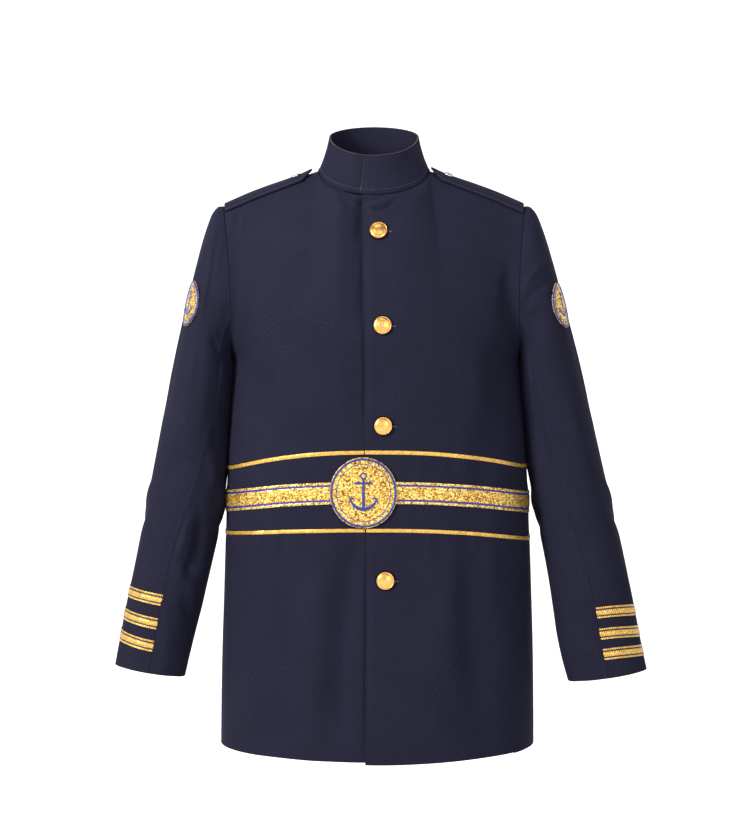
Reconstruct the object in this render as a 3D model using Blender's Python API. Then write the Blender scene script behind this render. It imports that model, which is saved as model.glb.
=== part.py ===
# Naval dress jacket, hollow as on a wearer who isn't there: stand collar, shoulder straps,
# set-in two-piece sleeves, a lapped front with domed buttons, gold braid round the waist,
# a badge over the front edge and on each arm, and three braids on each cuff.
# Lengths here are millimetres, and the objects are made in metres.
# +Z is up, -Y is the front and +X is the wearer's left. The origin is the middle of the neck
# opening, level with the inner ends of the shoulder seams.

import math

import bpy
import numpy as np

METRE = 1000.0
SIDES = {"left": 1.0, "right": -1.0}
MIRROR = np.array([-1.0, 1.0, 1.0])

# Cloth, and the air left at seams and between layers
BODY_CLOTH = 2.0
SLEEVE_CLOTH = 1.8
COLLAR_CLOTH = 2.6
STRAP_CLOTH = 2.6
SEAM_GAP = 0.36
SLEEVE_SEAM_GAP = 0.5
LAY_GAP = 0.5
LAP_GAP = 0.7

# The trunk. Angles run from the centre front, 90 at the side, 180 at the centre back.
TRUNK_MIDDLE_Y = 5.0
ARMPIT_Z = -250.0
HEM_Z = -756.0
HEM_FRONT_DIP = 10.0
HEM_DIP_POWER = 1.2
HEM_LEFT_DROP = 3.0
TRUNK_SECTIONS = (
    # z, half_width, front_depth, back_depth, squareness
    (-800, 208.5, 127, 121, 2.45),
    (-650, 207.0, 126, 119, 2.45),
    (-560, 204.5, 124, 113, 2.45),
    (-480, 202.0, 124, 106, 2.40),
    (-390, 198.5, 125, 104, 2.40),
    (-320, 194.0, 127, 111, 2.35),
    (-250, 190.0, 128, 120, 2.30),
)

# The jacket hangs a little off plumb, most at the hips: how far to the wearer's left
LEAN = (
    # z, x
    (-800, 4.3),
    (-680, 4.6),
    (-560, 5.0),
    (-430, 4.4),
    (-300, 3.0),
    (-150, 1.0),
    (0, 0.0),
    (100, 0.0),
)

# The neck opening, and the top edge of the collar above it
NECK_RING = {"half_width": 73, "y": -5, "front": 67, "back": 58, "z": 0, "dip": 36, "rise": 22}
COLLAR_TOP = {"half_width": 59, "y": -5, "front": 55, "back": 54, "z": 46, "dip": 30, "rise": 17}
COLLAR_WAIST = 1.5
COLLAR_LIFT = 1.2
COLLAR_SPLIT_LOW = 12.3
COLLAR_SPLIT_HIGH = 10.3
COLLAR_UNDERLAP = 8.0
COLLAR_STEP = 16.0

# The shoulder seam, from the neck to the sleeve
SHOULDER_SEAM = (
    # x, y, z
    (73, -5, 0),
    (114, -3, -13.5),
    (156, 0, -28),
    (199, 4, -46),
)
SHOULDER_SLOPE = {"front": 0.12, "back": 0.10}
SHOULDER_ARM = {"front": 0.30, "back": 0.34}
CHEST_FULLNESS = 0.11

# The armhole. Its angle is 0 at the shoulder, 90 in front, 180 under the arm, 270 behind.
ARMHOLE_FRONT = 66.0
ARMHOLE_BACK = 72.0
ARMHOLE_SCOOP = 4.0
ARMHOLE_LOW_FULLNESS = 0.16
ARMHOLE_REACH = 3.2

# Panels are divided by shares: 0 at the centre, 1 at the side. The neck takes the first part
# of the top edge. The left front passes the centre by one lap, and the right front goes under.
NECK_SHARE = 0.42
NECK_SLOWNESS = 0.73
LAP_SHARE = 0.079
UNDERLAP_SHARE = 0.110
LAP_STEP_SHARE = 0.13
BACK_SEAM_SHARE = 0.0011
SIDE_SEAM_SHARE = 0.0010

# Sleeve sections, from the armhole to the cuff. Outer and inner are where a section is
# furthest from and nearest to the trunk. Seam angles are like the armhole's.
SLEEVE_SECTIONS = (
    # outer_x, outer_z, inner_x, inner_z, middle_y, front, back, front_seam, back_seam
    (199, -46, 190.0, -250, 4.5, 66.0, 72.0, 120, -100),
    (211, -50, 191.5, -253, 4.5, 67.0, 73.0, 121, -100),
    (222.8, -77, 192.0, -257, 5.0, 69.0, 74.0, 122, -100),
    (231.5, -106, 192.1, -263, 5.5, 70.0, 75.0, 123, -100),
    (241.5, -144, 192.4, -272, 6.0, 71.5, 75.5, 123, -100),
    (251.5, -188, 193.0, -287, 6.0, 72.5, 75.0, 123, -100),
    (263.0, -237, 194.2, -310, 6.0, 71.5, 72.5, 123, -100),
    (275.5, -295, 196.2, -347, 4.0, 69.0, 70.0, 121, -100),
    (289.0, -356, 200.1, -394, 0.0, 63.5, 64.0, 112, -99),
    (301.4, -419, 202.6, -446, -6.0, 58.0, 58.0, 99, -98),
    (314.4, -485, 216.0, -503, -12.0, 54.0, 54.0, 90, -97),
    (327.4, -552, 231.0, -569, -18.0, 49.0, 49.5, 88, -96),
    (337.5, -605, 244.0, -620, -22.0, 46.0, 46.0, 90, -95),
    (344.8, -650, 254.5, -665.5, -25.0, 44.5, 44.5, 92, -95),
)
SLEEVE_ROUNDNESS = 2.15
LEFT_SLEEVE_SHIFTS = (
    # along, outer_x, inner_x, z, front_seam
    (0.00, 0.0, 0.0, 0.0, 0.0),
    (0.50, 3.0, 0.0, -3.0, 0.0),
    (0.61, 3.8, 1.4, -4.0, 0.5),
    (0.69, 5.0, 6.0, -4.5, 3.0),
    (0.77, 7.5, 5.0, -5.0, 8.0),
    (0.85, 7.5, 0.0, -5.5, 3.0),
    (0.92, 7.5, -4.5, -6.0, 1.0),
    (1.00, 9.0, -2.5, -6.5, 0.0),
)

# Soft folds on the trunk, as seen from in front or behind: a line, its half width and its
# depth, which is below zero for a trough
FRONT_FOLDS = {
    "left": (
        # x_1, z_1, x_2, z_2, width, depth
        (182, -190, 128, -420, 22, -3.4),
        (150, -215, 92, -460, 24, 2.4),
        (34, -50, 60, -40, 7, 2.0),
        (120, -520, 138, -760, 26, -3.0),
        (70, -560, 80, -760, 24, 2.2),
    ),
    "right": (
        (182, -200, 140, -400, 20, -2.8),
        (38, -52, 48, -190, 12, 1.6),
        (112, -480, 122, -760, 24, -3.2),
        (150, -470, 160, -760, 18, 2.6),
        (64, -500, 74, -760, 24, 2.2),
    ),
}
BACK_FOLDS = (
    (150, -170, 95, -330, 22, -3.0),
    (-150, -175, -100, -330, 22, -3.0),
    (60, -470, 78, -760, 26, 3.2),
    (-66, -470, -82, -760, 26, 3.0),
    (128, -480, 146, -760, 24, -3.2),
    (-124, -480, -140, -760, 24, -3.0),
    (4, -420, 0, -760, 24, -2.6),
)
SLEEVE_FOLDS = (
    # angle_1, along_1, angle_2, along_2, wide, long, depth
    (55, 0.02, 42, 0.55, 14, 0.5, 1.8),
    (150, 0.50, 60, 0.66, 30, 0.030, -2.6),
    (160, 0.58, 78, 0.74, 30, 0.028, 2.0),
    (-60, 0.50, -150, 0.62, 30, 0.030, -2.4),
    (-50, 0.60, -140, 0.72, 30, 0.030, 2.0),
    (110, 0.72, 40, 0.80, 28, 0.026, -1.8),
)

# Gold lines round the waist. Each falls from the centre front to the sides.
WAIST_LINES = (
    # name, height, fall, more_fall_on_the_left, width, kind
    ("waist_line_upper", -368.0, 27.0, -2.5, 6.4, "line"),
    ("waist_braid", -419.7, 16.3, 1.6, 29.5, "braid"),
    ("waist_line_lower", -467.9, 9.6, 8.0, 6.0, "line"),
)
FALL_POWER = 2.4

# How a line, a braid and a cuff braid are raised across their width
TAPE_PROFILES = {
    # share of the width, height
    "line": ((0.0, 0.8), (1.0, 0.8)),
    "braid": ((0.0, 1.0), (0.13, 1.0), (0.18, 0.6), (0.24, 1.1), (0.76, 1.1), (0.82, 0.6),
              (0.87, 1.0), (1.0, 1.0)),
    "cuff": ((0.0, 0.8), (0.12, 0.8), (0.25, 1.0), (0.75, 1.0), (0.88, 0.8), (1.0, 0.8)),
}

# Braids on the top half of each sleeve: heights above the cuff's edge, at the front seam and
# at the outside of the arm
CUFF_BRAIDS = {
    # at_front_seam, at_outside
    "left": ((87.0, 79.0), (59.0, 50.5), (32.0, 25.5)),
    "right": ((97.0, 98.5), (65.5, 69.0), (36.0, 41.0)),
}
CUFF_BRAID_WIDTH = 15.4

# Domed buttons down the front, at x and z, and the half section of one: radius and height
BUTTONS = ((5.4, -84.5), (9.1, -206.0), (8.1, -334.0), (9.5, -532.0))
BUTTON_PROFILE = (
    (3.0, 0.35), (3.0, 1.5), (11.2, 1.9), (12.3, 2.6), (12.3, 3.3),
    (11.5, 3.9), (10.5, 3.5), (8.0, 4.9), (4.2, 5.9),
)
BUTTON_TOP = 6.2
BUTTON_SIDES = 18
STUD_PROFILE = ((7.2, 0.35), (7.2, 0.9), (6.2, 1.7), (4.9, 1.7), (3.9, 1.0), (2.6, 1.3))
STUD_TOP = 1.5
STUD_SIDES = 16
STUD_PLACE = {"x": 101.0, "forward": 3.0}
STUD_GAP = 0.9

# Oval badges
WAIST_BADGE = {"x": -17.6, "z": -419.5, "half_width": 43.0, "half_height": 45.5, "lift": 2.3}
ARM_BADGE = {"angle": 43.0, "along": 0.340, "half_width": 26.0, "half_height": 27.0,
             "lift": 1.1}
BADGE_SIDES = 24
BADGE_PROFILE = ((0.42, 1.6), (0.80, 1.6), (0.88, 1.3), (0.94, 2.1), (1.0, 1.5))

# Shoulder straps. The tip is at the neck, and the point widens to the strap's full width. Each
# lies a little in front of the shoulder seam, and the two don't reach equally far in.
STRAP_STATIONS = (
    # x, half_width, lift
    (197.5, 26.0, 0.9),
    (180.0, 25.5, 0.9),
    (160.0, 24.5, 0.9),
    (138.0, 23.5, 0.9),
    (115.0, 22.3, 0.9),
    (101.0, 21.6, 1.2),
    (91.0, 21.0, 1.9),
    (84.0, 12.0, 2.8),
    (79.0, 3.5, 3.4),
)
STRAP_ACROSS = (-1.0, -0.55, 0.0, 0.55, 1.0)
STRAP_FORWARD = {"left": 5.0, "right": 2.0}
STRAP_LONGER = {"left": 5.0, "right": -1.5}

# How finely each panel is divided
LAP_COLUMNS = 2
NECK_COLUMNS = 5
SHOULDER_COLUMNS = 7
BACK_NECK_COLUMNS = 4
BACK_SHOULDER_COLUMNS = 6
LOW_ROWS = 14
HIGH_ROWS = 9
SLEEVE_TOP_COLUMNS = 11
SLEEVE_UNDER_COLUMNS = 7
SLEEVE_ROWS = 20
COLLAR_COLUMNS = 32
COLLAR_ROWS = 3

MATERIALS = {
    # red, green, blue, roughness, metallic
    "navy_cloth": (0.020, 0.021, 0.042, 0.85, 0.0),
    "gold_braid": (0.62, 0.40, 0.09, 0.45, 0.6),
    "gilt_brass": (0.75, 0.47, 0.16, 0.28, 1.0),
    "badge_gold": (0.66, 0.46, 0.12, 0.55, 0.4),
    "nickel": (0.62, 0.63, 0.64, 0.22, 1.0),
}


# Small pieces of mathematics
def ease(share):
    share = np.clip(share, 0.0, 1.0)
    return share * share * (3.0 - 2.0 * share)


def through(knots, values, at):
    # A smooth curve through a table's values. The knots rise.
    knots = np.asarray(knots, float)
    values = np.asarray(values, float)
    at = np.clip(np.asarray(at, float), knots[0], knots[-1])
    slopes = np.gradient(values, knots, axis=0)
    i = np.clip(np.searchsorted(knots, at, side="right") - 1, 0, len(knots) - 2)
    step = knots[i + 1] - knots[i]
    t = (at - knots[i]) / step
    if values.ndim > 1:
        step, t = step[..., None], t[..., None]
    early = values[i] * (1 + 2 * t) * (1 - t) ** 2 + slopes[i] * step * t * (1 - t) ** 2
    late = values[i + 1] * t**2 * (3 - 2 * t) + slopes[i + 1] * step * t**2 * (t - 1)
    return early + late


def point(x, y, z):
    return np.stack(np.broadcast_arrays(x, y, z), axis=-1).astype(float)


def unit(vectors):
    return vectors / np.maximum(np.linalg.norm(vectors, axis=-1, keepdims=True), 1e-9)


def bump(along, across, width):
    # A soft ridge of unit height that dies away at its two ends
    inside = np.clip(along, 0.0, 1.0)
    ends = np.exp(-(((along - inside) / 0.18) ** 2))
    taper = 0.35 + 0.65 * np.sin(math.pi * inside) ** 0.8
    return np.exp(-((across / width) ** 2)) * ends * taper


def with_normals(surface, u, v):
    # A surface's points, and the unit cross product of its two directions there
    small = 1e-4
    along_u = surface(u + small, v) - surface(u - small, v)
    along_v = surface(u, v + small) - surface(u, v - small)
    return surface(u, v), unit(np.cross(along_u, along_v))


def raised(surface, height_of, sign=1.0):
    # The same surface moved along its normals
    def moved(u, v):
        places, normals = with_normals(surface, u, v)
        return places + sign * normals * height_of(places, u, v)[..., None]

    return moved


class Panel:
    # A grid of points on a surface, and the flat facets between them
    def __init__(self, surface, columns, rows, facing=1.0):
        self.columns = np.asarray(columns, float)
        self.rows = np.asarray(rows, float)
        u, v = np.meshgrid(self.columns, self.rows)
        self.places, normals = with_normals(surface, u, v)
        self.normals = normals * facing

    def at(self, u, v):
        # Points and normals anywhere on the facets
        u, v = np.broadcast_arrays(np.asarray(u, float), np.asarray(v, float))
        c = np.clip(np.searchsorted(self.columns, u, side="right") - 1, 0, len(self.columns) - 2)
        r = np.clip(np.searchsorted(self.rows, v, side="right") - 1, 0, len(self.rows) - 2)
        s = ((u - self.columns[c]) / (self.columns[c + 1] - self.columns[c]))[..., None]
        t = ((v - self.rows[r]) / (self.rows[r + 1] - self.rows[r]))[..., None]

        def blend(values):
            near = values[r, c] * (1 - s) + values[r, c + 1] * s
            far = values[r + 1, c] * (1 - s) + values[r + 1, c + 1] * s
            return near * (1 - t) + far * t

        return blend(self.places), unit(blend(self.normals))

    def row_at_height(self, u, z):
        heights = self.at(u, self.rows)[0][:, 2]
        return np.interp(z, heights, self.rows)

    def row_above_end(self, u, distance):
        # The row that lies a distance short of the last one, along the surface
        line = self.at(u, self.rows)[0]
        steps = np.linalg.norm(np.diff(line, axis=0), axis=1)
        left = np.append(np.cumsum(steps[::-1])[::-1], 0.0)
        return np.interp(-distance, -left, self.rows)

    def find(self, x, z):
        # The share and row of the point seen from in front at x and z
        u = 0.0
        for _ in range(8):
            v = self.row_at_height(u, z)
            u = np.interp(x, self.at(self.columns, v)[0][:, 0], self.columns)
        return u, v


# The trunk
def trunk_ring(angle, z):
    # The trunk's outer point at an angle from the centre front, on the +X side
    table = np.array(TRUNK_SECTIONS, float)
    half, front, back, square = (through(table[:, 0], table[:, c], z) for c in range(1, 5))
    depth = np.where(np.cos(angle) > 0, front, back)
    wide = (np.abs(np.sin(angle)) / half) ** square
    deep = (np.abs(np.cos(angle)) / depth) ** square
    reach = (wide + deep) ** (-1.0 / square)
    return point(reach * np.sin(angle), TRUNK_MIDDLE_Y - reach * np.cos(angle), z)


def ring_point(ring, angle):
    # A point of the neck opening or of the collar's top edge
    ahead = np.cos(angle) > 0
    depth = np.where(ahead, ring["front"], ring["back"])
    slope = np.where(ahead, ring["dip"], ring["rise"])
    x = ring["half_width"] * np.sin(angle)
    return point(x, ring["y"] - depth * np.cos(angle), ring["z"] - slope * np.cos(angle))


def armhole_point(angle):
    high, low = np.array(SLEEVE_SECTIONS[0][0:2]), np.array(SLEEVE_SECTIONS[0][2:4])
    share = (1 + np.cos(angle)) / 2
    depth = np.where(np.sin(angle) > 0, ARMHOLE_FRONT, ARMHOLE_BACK)
    across = np.sin(angle) * (1 - ARMHOLE_LOW_FULLNESS * np.cos(angle))
    x = low[0] + (high[0] - low[0]) * share**2 - ARMHOLE_SCOOP * np.sin(angle) ** 2
    middle = TRUNK_MIDDLE_Y + (SHOULDER_SEAM[-1][1] - TRUNK_MIDDLE_Y) * share
    return point(x, middle - depth * across, low[1] + (high[1] - low[1]) * share)


def top_edge(u, behind):
    # A panel's top edge: round the neck, then along the shoulder seam
    neck_part = np.clip(u / NECK_SHARE, 0, 1)
    angle = math.pi / 2 * (NECK_SLOWNESS * neck_part + (1 - NECK_SLOWNESS) * neck_part**3)
    neck = ring_point(NECK_RING, math.pi - angle if behind else angle)
    seam = np.array(SHOULDER_SEAM, float)
    seam_part = np.clip((u - NECK_SHARE) / (1 - NECK_SHARE), 0, 1)
    shoulder = through(seam[:, 0], seam, seam[0, 0] + (seam[-1, 0] - seam[0, 0]) * seam_part)
    return np.where((u <= NECK_SHARE)[..., None], neck, shoulder)


def upper_trunk(u, up, behind):
    # From the level of the armpit (0) to the neck and the shoulder seam (1)
    angle = math.pi / 2 * u
    turned = math.pi - angle if behind else angle
    start = trunk_ring(turned, np.full_like(u, ARMPIT_Z))
    below = trunk_ring(turned, np.full_like(u, ARMPIT_Z - 1.0))
    end = top_edge(u, behind)
    facing = -1.0 if behind else 1.0
    place = "back" if behind else "front"
    slope, reach = SHOULDER_SLOPE[place], SHOULDER_ARM[place]
    over = ease(u / NECK_SHARE)
    lean_in = (0.38 if behind else 0.50) * (1 - over) + over
    rise_in = 0.90 * (1 - over) + slope * over
    arrive = unit(point(0.0 * u, facing * lean_in, rise_in))
    tall = (end - start)[..., 2]
    deep = np.abs((end - start)[..., 1])
    first_arm = tall * (0.36 + 0.06 * over + CHEST_FULLNESS * np.sin(math.pi * u) ** 2)
    last_arm = tall * 0.30 * (1 - over) + deep * reach * over
    second = start + (start - below) * first_arm[..., None]
    third = end - arrive * last_arm[..., None]
    t = up[..., None]
    early = start * (1 - t) ** 3 + 3 * second * t * (1 - t) ** 2
    return early + 3 * third * t**2 * (1 - t) + end * t**3


def trunk_surface(u, v, behind, hem_drop=0.0):
    # Row 0 is the hem, 1 the level of the armpit, and 2 the neck and the shoulder
    u, v = np.broadcast_arrays(np.asarray(u, float), np.asarray(v, float))
    mirrored = point(np.where(u < 0, -1.0, 1.0), 1.0, 1.0)
    u = np.abs(u)
    angle = math.pi / 2 * u
    turned = math.pi - angle if behind else angle
    dip = (HEM_FRONT_DIP + hem_drop) * np.clip(np.cos(turned), 0, 1) ** HEM_DIP_POWER
    hem = HEM_Z - dip
    low = trunk_ring(turned, hem + (ARMPIT_Z - hem) * np.clip(v, 0, 1))
    up = np.clip(v - 1, 0, 1)
    side = upper_trunk(np.ones_like(u), up, behind)
    around = math.pi * (1 - up)
    hole = armhole_point(-around if behind else around)
    high = upper_trunk(u, up, behind) + (u**ARMHOLE_REACH)[..., None] * (hole - side)
    return np.where((v <= 1)[..., None], low, high) * mirrored


def fold_height(places, folds):
    height = np.zeros(places.shape[:-1])
    for x_1, z_1, x_2, z_2, width, depth in folds:
        start, run = np.array([x_1, z_1]), np.array([x_2 - x_1, z_2 - z_1])
        away = places[..., [0, 2]] - start
        length = np.linalg.norm(run)
        along = away @ run / length**2
        across = (away[..., 0] * run[1] - away[..., 1] * run[0]) / length
        height = height + depth * bump(along, across, width)
    return height


def edge_fade(u, v):
    # Folds die away at the side seam, the armhole, the shoulder and the neck
    return ease((1 - np.abs(u)) / 0.12) * ease((2 - v) / 0.30)


def front_surface(side):
    drop = HEM_LEFT_DROP if side == "left" else 0.0

    def plain(u, v):
        return trunk_surface(u, v, False, drop)

    def height(places, u, v):
        clear_of_lap = ease((u - LAP_SHARE - 0.03) / 0.10)
        total = fold_height(places, FRONT_FOLDS[side]) * edge_fade(u, v) * clear_of_lap
        if side == "right":
            past_lap = (u - LAP_SHARE - 0.006) / LAP_STEP_SHARE
            total = total - (BODY_CLOTH + LAP_GAP) * (1 - ease(past_lap))
        return total

    return raised(plain, height)


def back_surface(u, v):
    # The share runs right across, from -1 at the wearer's right side to 1 at the left
    def plain(u, v):
        return trunk_surface(u, v, True)

    def height(places, u, v):
        return fold_height(places, BACK_FOLDS) * edge_fade(u, v)

    return raised(plain, height, sign=-1.0)(u, v)


# The sleeves
def sleeve_value(along, column):
    table = np.array(SLEEVE_SECTIONS, float)
    return through(np.linspace(0, 1, len(table)), table[:, column], along)


def sleeve_section(angle, along):
    outer_x, outer_z, inner_x, inner_z, middle, front, back = (
        sleeve_value(along, column) for column in range(7)
    )
    c, s = np.cos(angle), np.sin(angle)
    power = SLEEVE_ROUNDNESS
    reach = (np.abs(c) ** power + np.abs(s) ** power) ** (-1 / power)
    c, s = c * reach, s * reach
    x = (outer_x + inner_x) / 2 + (outer_x - inner_x) / 2 * c
    z = (outer_z + inner_z) / 2 + (outer_z - inner_z) / 2 * c
    return point(x, middle - np.where(s > 0, front, back) * s, z)


def sleeve_plain(angle, along):
    angle, along = np.broadcast_arrays(np.asarray(angle, float), np.asarray(along, float))
    first = sleeve_section(angle, np.zeros_like(along))
    near_armhole = (1 - ease(along / 0.30))[..., None]
    seam = point(SEAM_GAP * (1 - ease(along / 0.05)), 0.0, 0.0)
    return sleeve_section(angle, along) + (armhole_point(angle) - first) * near_armhole + seam


def sleeve_fold_height(places, angle, along):
    total = np.zeros_like(along)
    degrees = np.degrees(angle)
    for angle_1, along_1, angle_2, along_2, wide, long, depth in SLEEVE_FOLDS:
        run_a, run_s = (angle_2 - angle_1) / wide, (along_2 - along_1) / long
        size = math.hypot(run_a, run_s)
        turned = (degrees - angle_1 + 180) % 360 - 180
        away_a, away_s = turned / wide, (along - along_1) / long
        share = (away_a * run_a + away_s * run_s) / size**2
        across = (away_a * run_s - away_s * run_a) / size
        total = total + depth * bump(share, across, 1.0)
    return total * ease(along / 0.12) * ease((1 - along) / 0.10)


def sleeve_surface(side):
    shape = raised(sleeve_plain, sleeve_fold_height)
    shifts = np.array(LEFT_SLEEVE_SHIFTS)

    def swung(angle, along):
        outer, inner, down = (through(shifts[:, 0], shifts[:, c], along) for c in (1, 2, 3))
        outward = (1 + np.cos(angle)) / 2
        return shape(angle, along) + point(inner + (outer - inner) * outward, 0.0, down)

    return swung if side == "left" else shape


def seam_angles(along, side, half):
    # Where a sleeve half starts and ends, in radians, with the gap at its two seams
    shifts = np.array(LEFT_SLEEVE_SHIFTS)
    shift = through(shifts[:, 0], shifts[:, 4], along) if side == "left" else 0.0
    front = np.radians(sleeve_value(along, 7) + shift)
    back = np.radians(sleeve_value(along, 8))
    gap = SLEEVE_SEAM_GAP / 2 / sleeve_value(along, 5)
    if half == "top":
        return back + gap, front - gap
    return front + gap, back + 2 * math.pi - gap


def sleeve_half(side, half):
    shape = sleeve_surface(side)

    def surface(share, along):
        share, along = np.broadcast_arrays(np.asarray(share, float), np.asarray(along, float))
        start, end = seam_angles(along, side, half)
        return shape(start + (end - start) * share, along)

    count = SLEEVE_TOP_COLUMNS if half == "top" else SLEEVE_UNDER_COLUMNS
    rows = np.linspace(0, 1, SLEEVE_ROWS + 1)
    return Panel(surface, np.linspace(0, 1, count + 1), rows)


def mitre(own, other):
    # Where two walls meet at a ridge, both end along the same direction between them
    together = np.sum(own * other, axis=-1, keepdims=True)
    return unit(own + (unit(own + other) - own) * ease((together + 0.2) / 0.5))


def mitre_armhole(panels, side):
    # Panels and sleeves share the armhole's angle, so each finds the other's normals there
    sleeve = sleeve_surface(side)
    trunk = {"front": (front_surface(side), 1.0), "back": (back_surface, -1.0)}
    kept = {}
    for name, (surface, facing) in trunk.items():
        panel = panels[f"{name}_{side}"]
        high = panel.rows >= 1.0
        angle = facing * math.pi * (2.0 - panel.rows[high])
        _, other = with_normals(sleeve, angle, np.zeros_like(angle))
        column = -1 if name == "front" or side == "left" else 0
        if column == 0:
            other = other * MIRROR
        own = panel.normals[high, column]
        kept[name] = (panel, high, column, mitre(own, other))
    for half in ("top", "under"):
        panel = panels[f"sleeve_{half}_{side}"]
        start, end = seam_angles(np.zeros(1), side, half)
        angle = start + (end - start) * panel.columns
        angle = (angle + math.pi) % (2 * math.pi) - math.pi
        row = 2.0 - np.abs(angle) / math.pi
        share = np.full_like(row, 0.998)
        front, back = (with_normals(surface, share, row)[1] * facing
                       for surface, facing in trunk.values())
        other = np.where((angle > 0)[:, None], front, back)
        panel.normals[0] = mitre(panel.normals[0], other)
    for panel, high, column, normals in kept.values():
        panel.normals[high, column] = normals


# The collar
def collar_surface(share, up):
    # Share 0 is the wearer's left end, on top at the front, and 1 is the end tucked under it
    share, up = np.broadcast_arrays(np.asarray(share, float), np.asarray(up, float))
    split = COLLAR_SPLIT_LOW + (COLLAR_SPLIT_HIGH - COLLAR_SPLIT_LOW) * up
    degrees = -split + (360.0 + COLLAR_UNDERLAP) * share
    angle = np.radians(degrees)
    low, high = ring_point(NECK_RING, angle), ring_point(COLLAR_TOP, angle)
    rise = unit(high - low)
    places = low + (high - low) * up[..., None] + rise * (1 - up)[..., None] * COLLAR_LIFT
    outward = unit(point(np.sin(angle), -np.cos(angle), 0.0))
    tucked = ease((degrees + split - 360.0 + COLLAR_STEP) / COLLAR_STEP)
    moved = (COLLAR_CLOTH + LAP_GAP) * tucked + COLLAR_WAIST * np.sin(math.pi * up)
    return places - outward * moved[..., None]


# Making solids
def clear_scene():
    for item in list(bpy.data.objects):
        bpy.data.objects.remove(item, do_unlink=True)


def hang(places):
    lean = np.array(LEAN, float)
    moved = np.array(places, float)
    moved[..., 0] += through(lean[:, 0], lean[:, 1], moved[..., 2])
    return moved


def material(name):
    found = bpy.data.materials.get(name)
    if found:
        return found
    red, green, blue, roughness, metallic = MATERIALS[name]
    made = bpy.data.materials.new(name)
    made.use_nodes = True
    shader = made.node_tree.nodes["Principled BSDF"]
    shader.inputs["Base Color"].default_value = (red, green, blue, 1.0)
    shader.inputs["Roughness"].default_value = roughness
    shader.inputs["Metallic"].default_value = metallic
    return made


def signed_volume(vertices, faces):
    total = 0.0
    for face in faces:
        first = vertices[face[0]]
        for second, third in zip(face[1:], face[2:]):
            total += np.dot(first, np.cross(vertices[second], vertices[third]))
    return total / 6


def add_object(name, vertices, faces, finish):
    if signed_volume(vertices, faces) < 0:
        faces = [tuple(reversed(face)) for face in faces]
    mesh = bpy.data.meshes.new(name)
    mesh.from_pydata([tuple(v) for v in hang(vertices) / METRE], [], faces)
    mesh.materials.append(material(finish))
    mesh.shade_smooth()
    mesh.set_sharp_from_angle(angle=math.radians(50))
    made = bpy.data.objects.new(name, mesh)
    bpy.context.scene.collection.objects.link(made)
    return made


def slab(name, places, normals, low, high, finish, sign=1.0):
    # A solid between two offsets of a grid of points, closed all round its rim
    rows, columns = places.shape[:2]
    low = np.broadcast_to(low, (rows, columns))[..., None]
    high = np.broadcast_to(high, (rows, columns))[..., None]
    outer = (places + normals * high).reshape(-1, 3)
    inner = (places + normals * low).reshape(-1, 3)
    vertices = np.concatenate([outer, inner])
    if sign < 0:
        vertices = vertices * MIRROR
    count = rows * columns
    numbers = np.arange(count).reshape(rows, columns)
    faces = []
    for row in range(rows - 1):
        for column in range(columns - 1):
            quad = (numbers[row, column], numbers[row, column + 1],
                    numbers[row + 1, column + 1], numbers[row + 1, column])
            faces.append(quad)
            faces.append(tuple(count + i for i in reversed(quad)))
    rim = [*numbers[0, :], *numbers[1:, -1], *numbers[-1, -2::-1], *numbers[-2:0:-1, 0]]
    for here, there in zip(rim, rim[1:] + rim[:1]):
        faces.append((here, count + here, count + there, there))
    faces = [tuple(int(i) for i in face) for face in faces]
    return add_object(name, vertices, faces, finish)


def turned(name, top, rings, bottom, finish, sign=1.0):
    # A solid through rings of points, closed by a point at each end
    sides = len(rings[0])
    vertices = np.concatenate([[top], *rings, [bottom]])
    if sign < 0:
        vertices = vertices * MIRROR
    last = len(vertices) - 1
    faces = []
    for i in range(sides):
        j = (i + 1) % sides
        faces.append((0, 1 + j, 1 + i))
        for ring in range(len(rings) - 1):
            a, b = 1 + ring * sides, 1 + (ring + 1) * sides
            faces.append((a + i, a + j, b + j, b + i))
        a = 1 + (len(rings) - 1) * sides
        faces.append((a + i, a + j, last))
    return add_object(name, vertices, faces, finish)


# Panels
def panel_rows():
    low = np.linspace(0, 1, LOW_ROWS + 1)[:-1]
    high = np.linspace(1, 2, HIGH_ROWS + 1)
    high[-1] -= 0.0018
    return np.concatenate([low, high])


def front_columns(side):
    start = -LAP_SHARE if side == "left" else -UNDERLAP_SHARE
    middle = LAP_SHARE + 0.006
    return np.concatenate([
        np.linspace(start, middle, LAP_COLUMNS + 1)[:-1],
        np.linspace(middle, NECK_SHARE, NECK_COLUMNS + 1)[:-1],
        np.linspace(NECK_SHARE, 1 - SIDE_SEAM_SHARE, SHOULDER_COLUMNS + 1),
    ])


def back_columns():
    # From the centre back seam to the side
    return np.concatenate([
        np.linspace(BACK_SEAM_SHARE, NECK_SHARE, BACK_NECK_COLUMNS + 1)[:-1],
        np.linspace(NECK_SHARE, 1 - SIDE_SEAM_SHARE, BACK_SHOULDER_COLUMNS + 1),
    ])


def plain_front(u, v):
    return trunk_surface(u, v, False)


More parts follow.
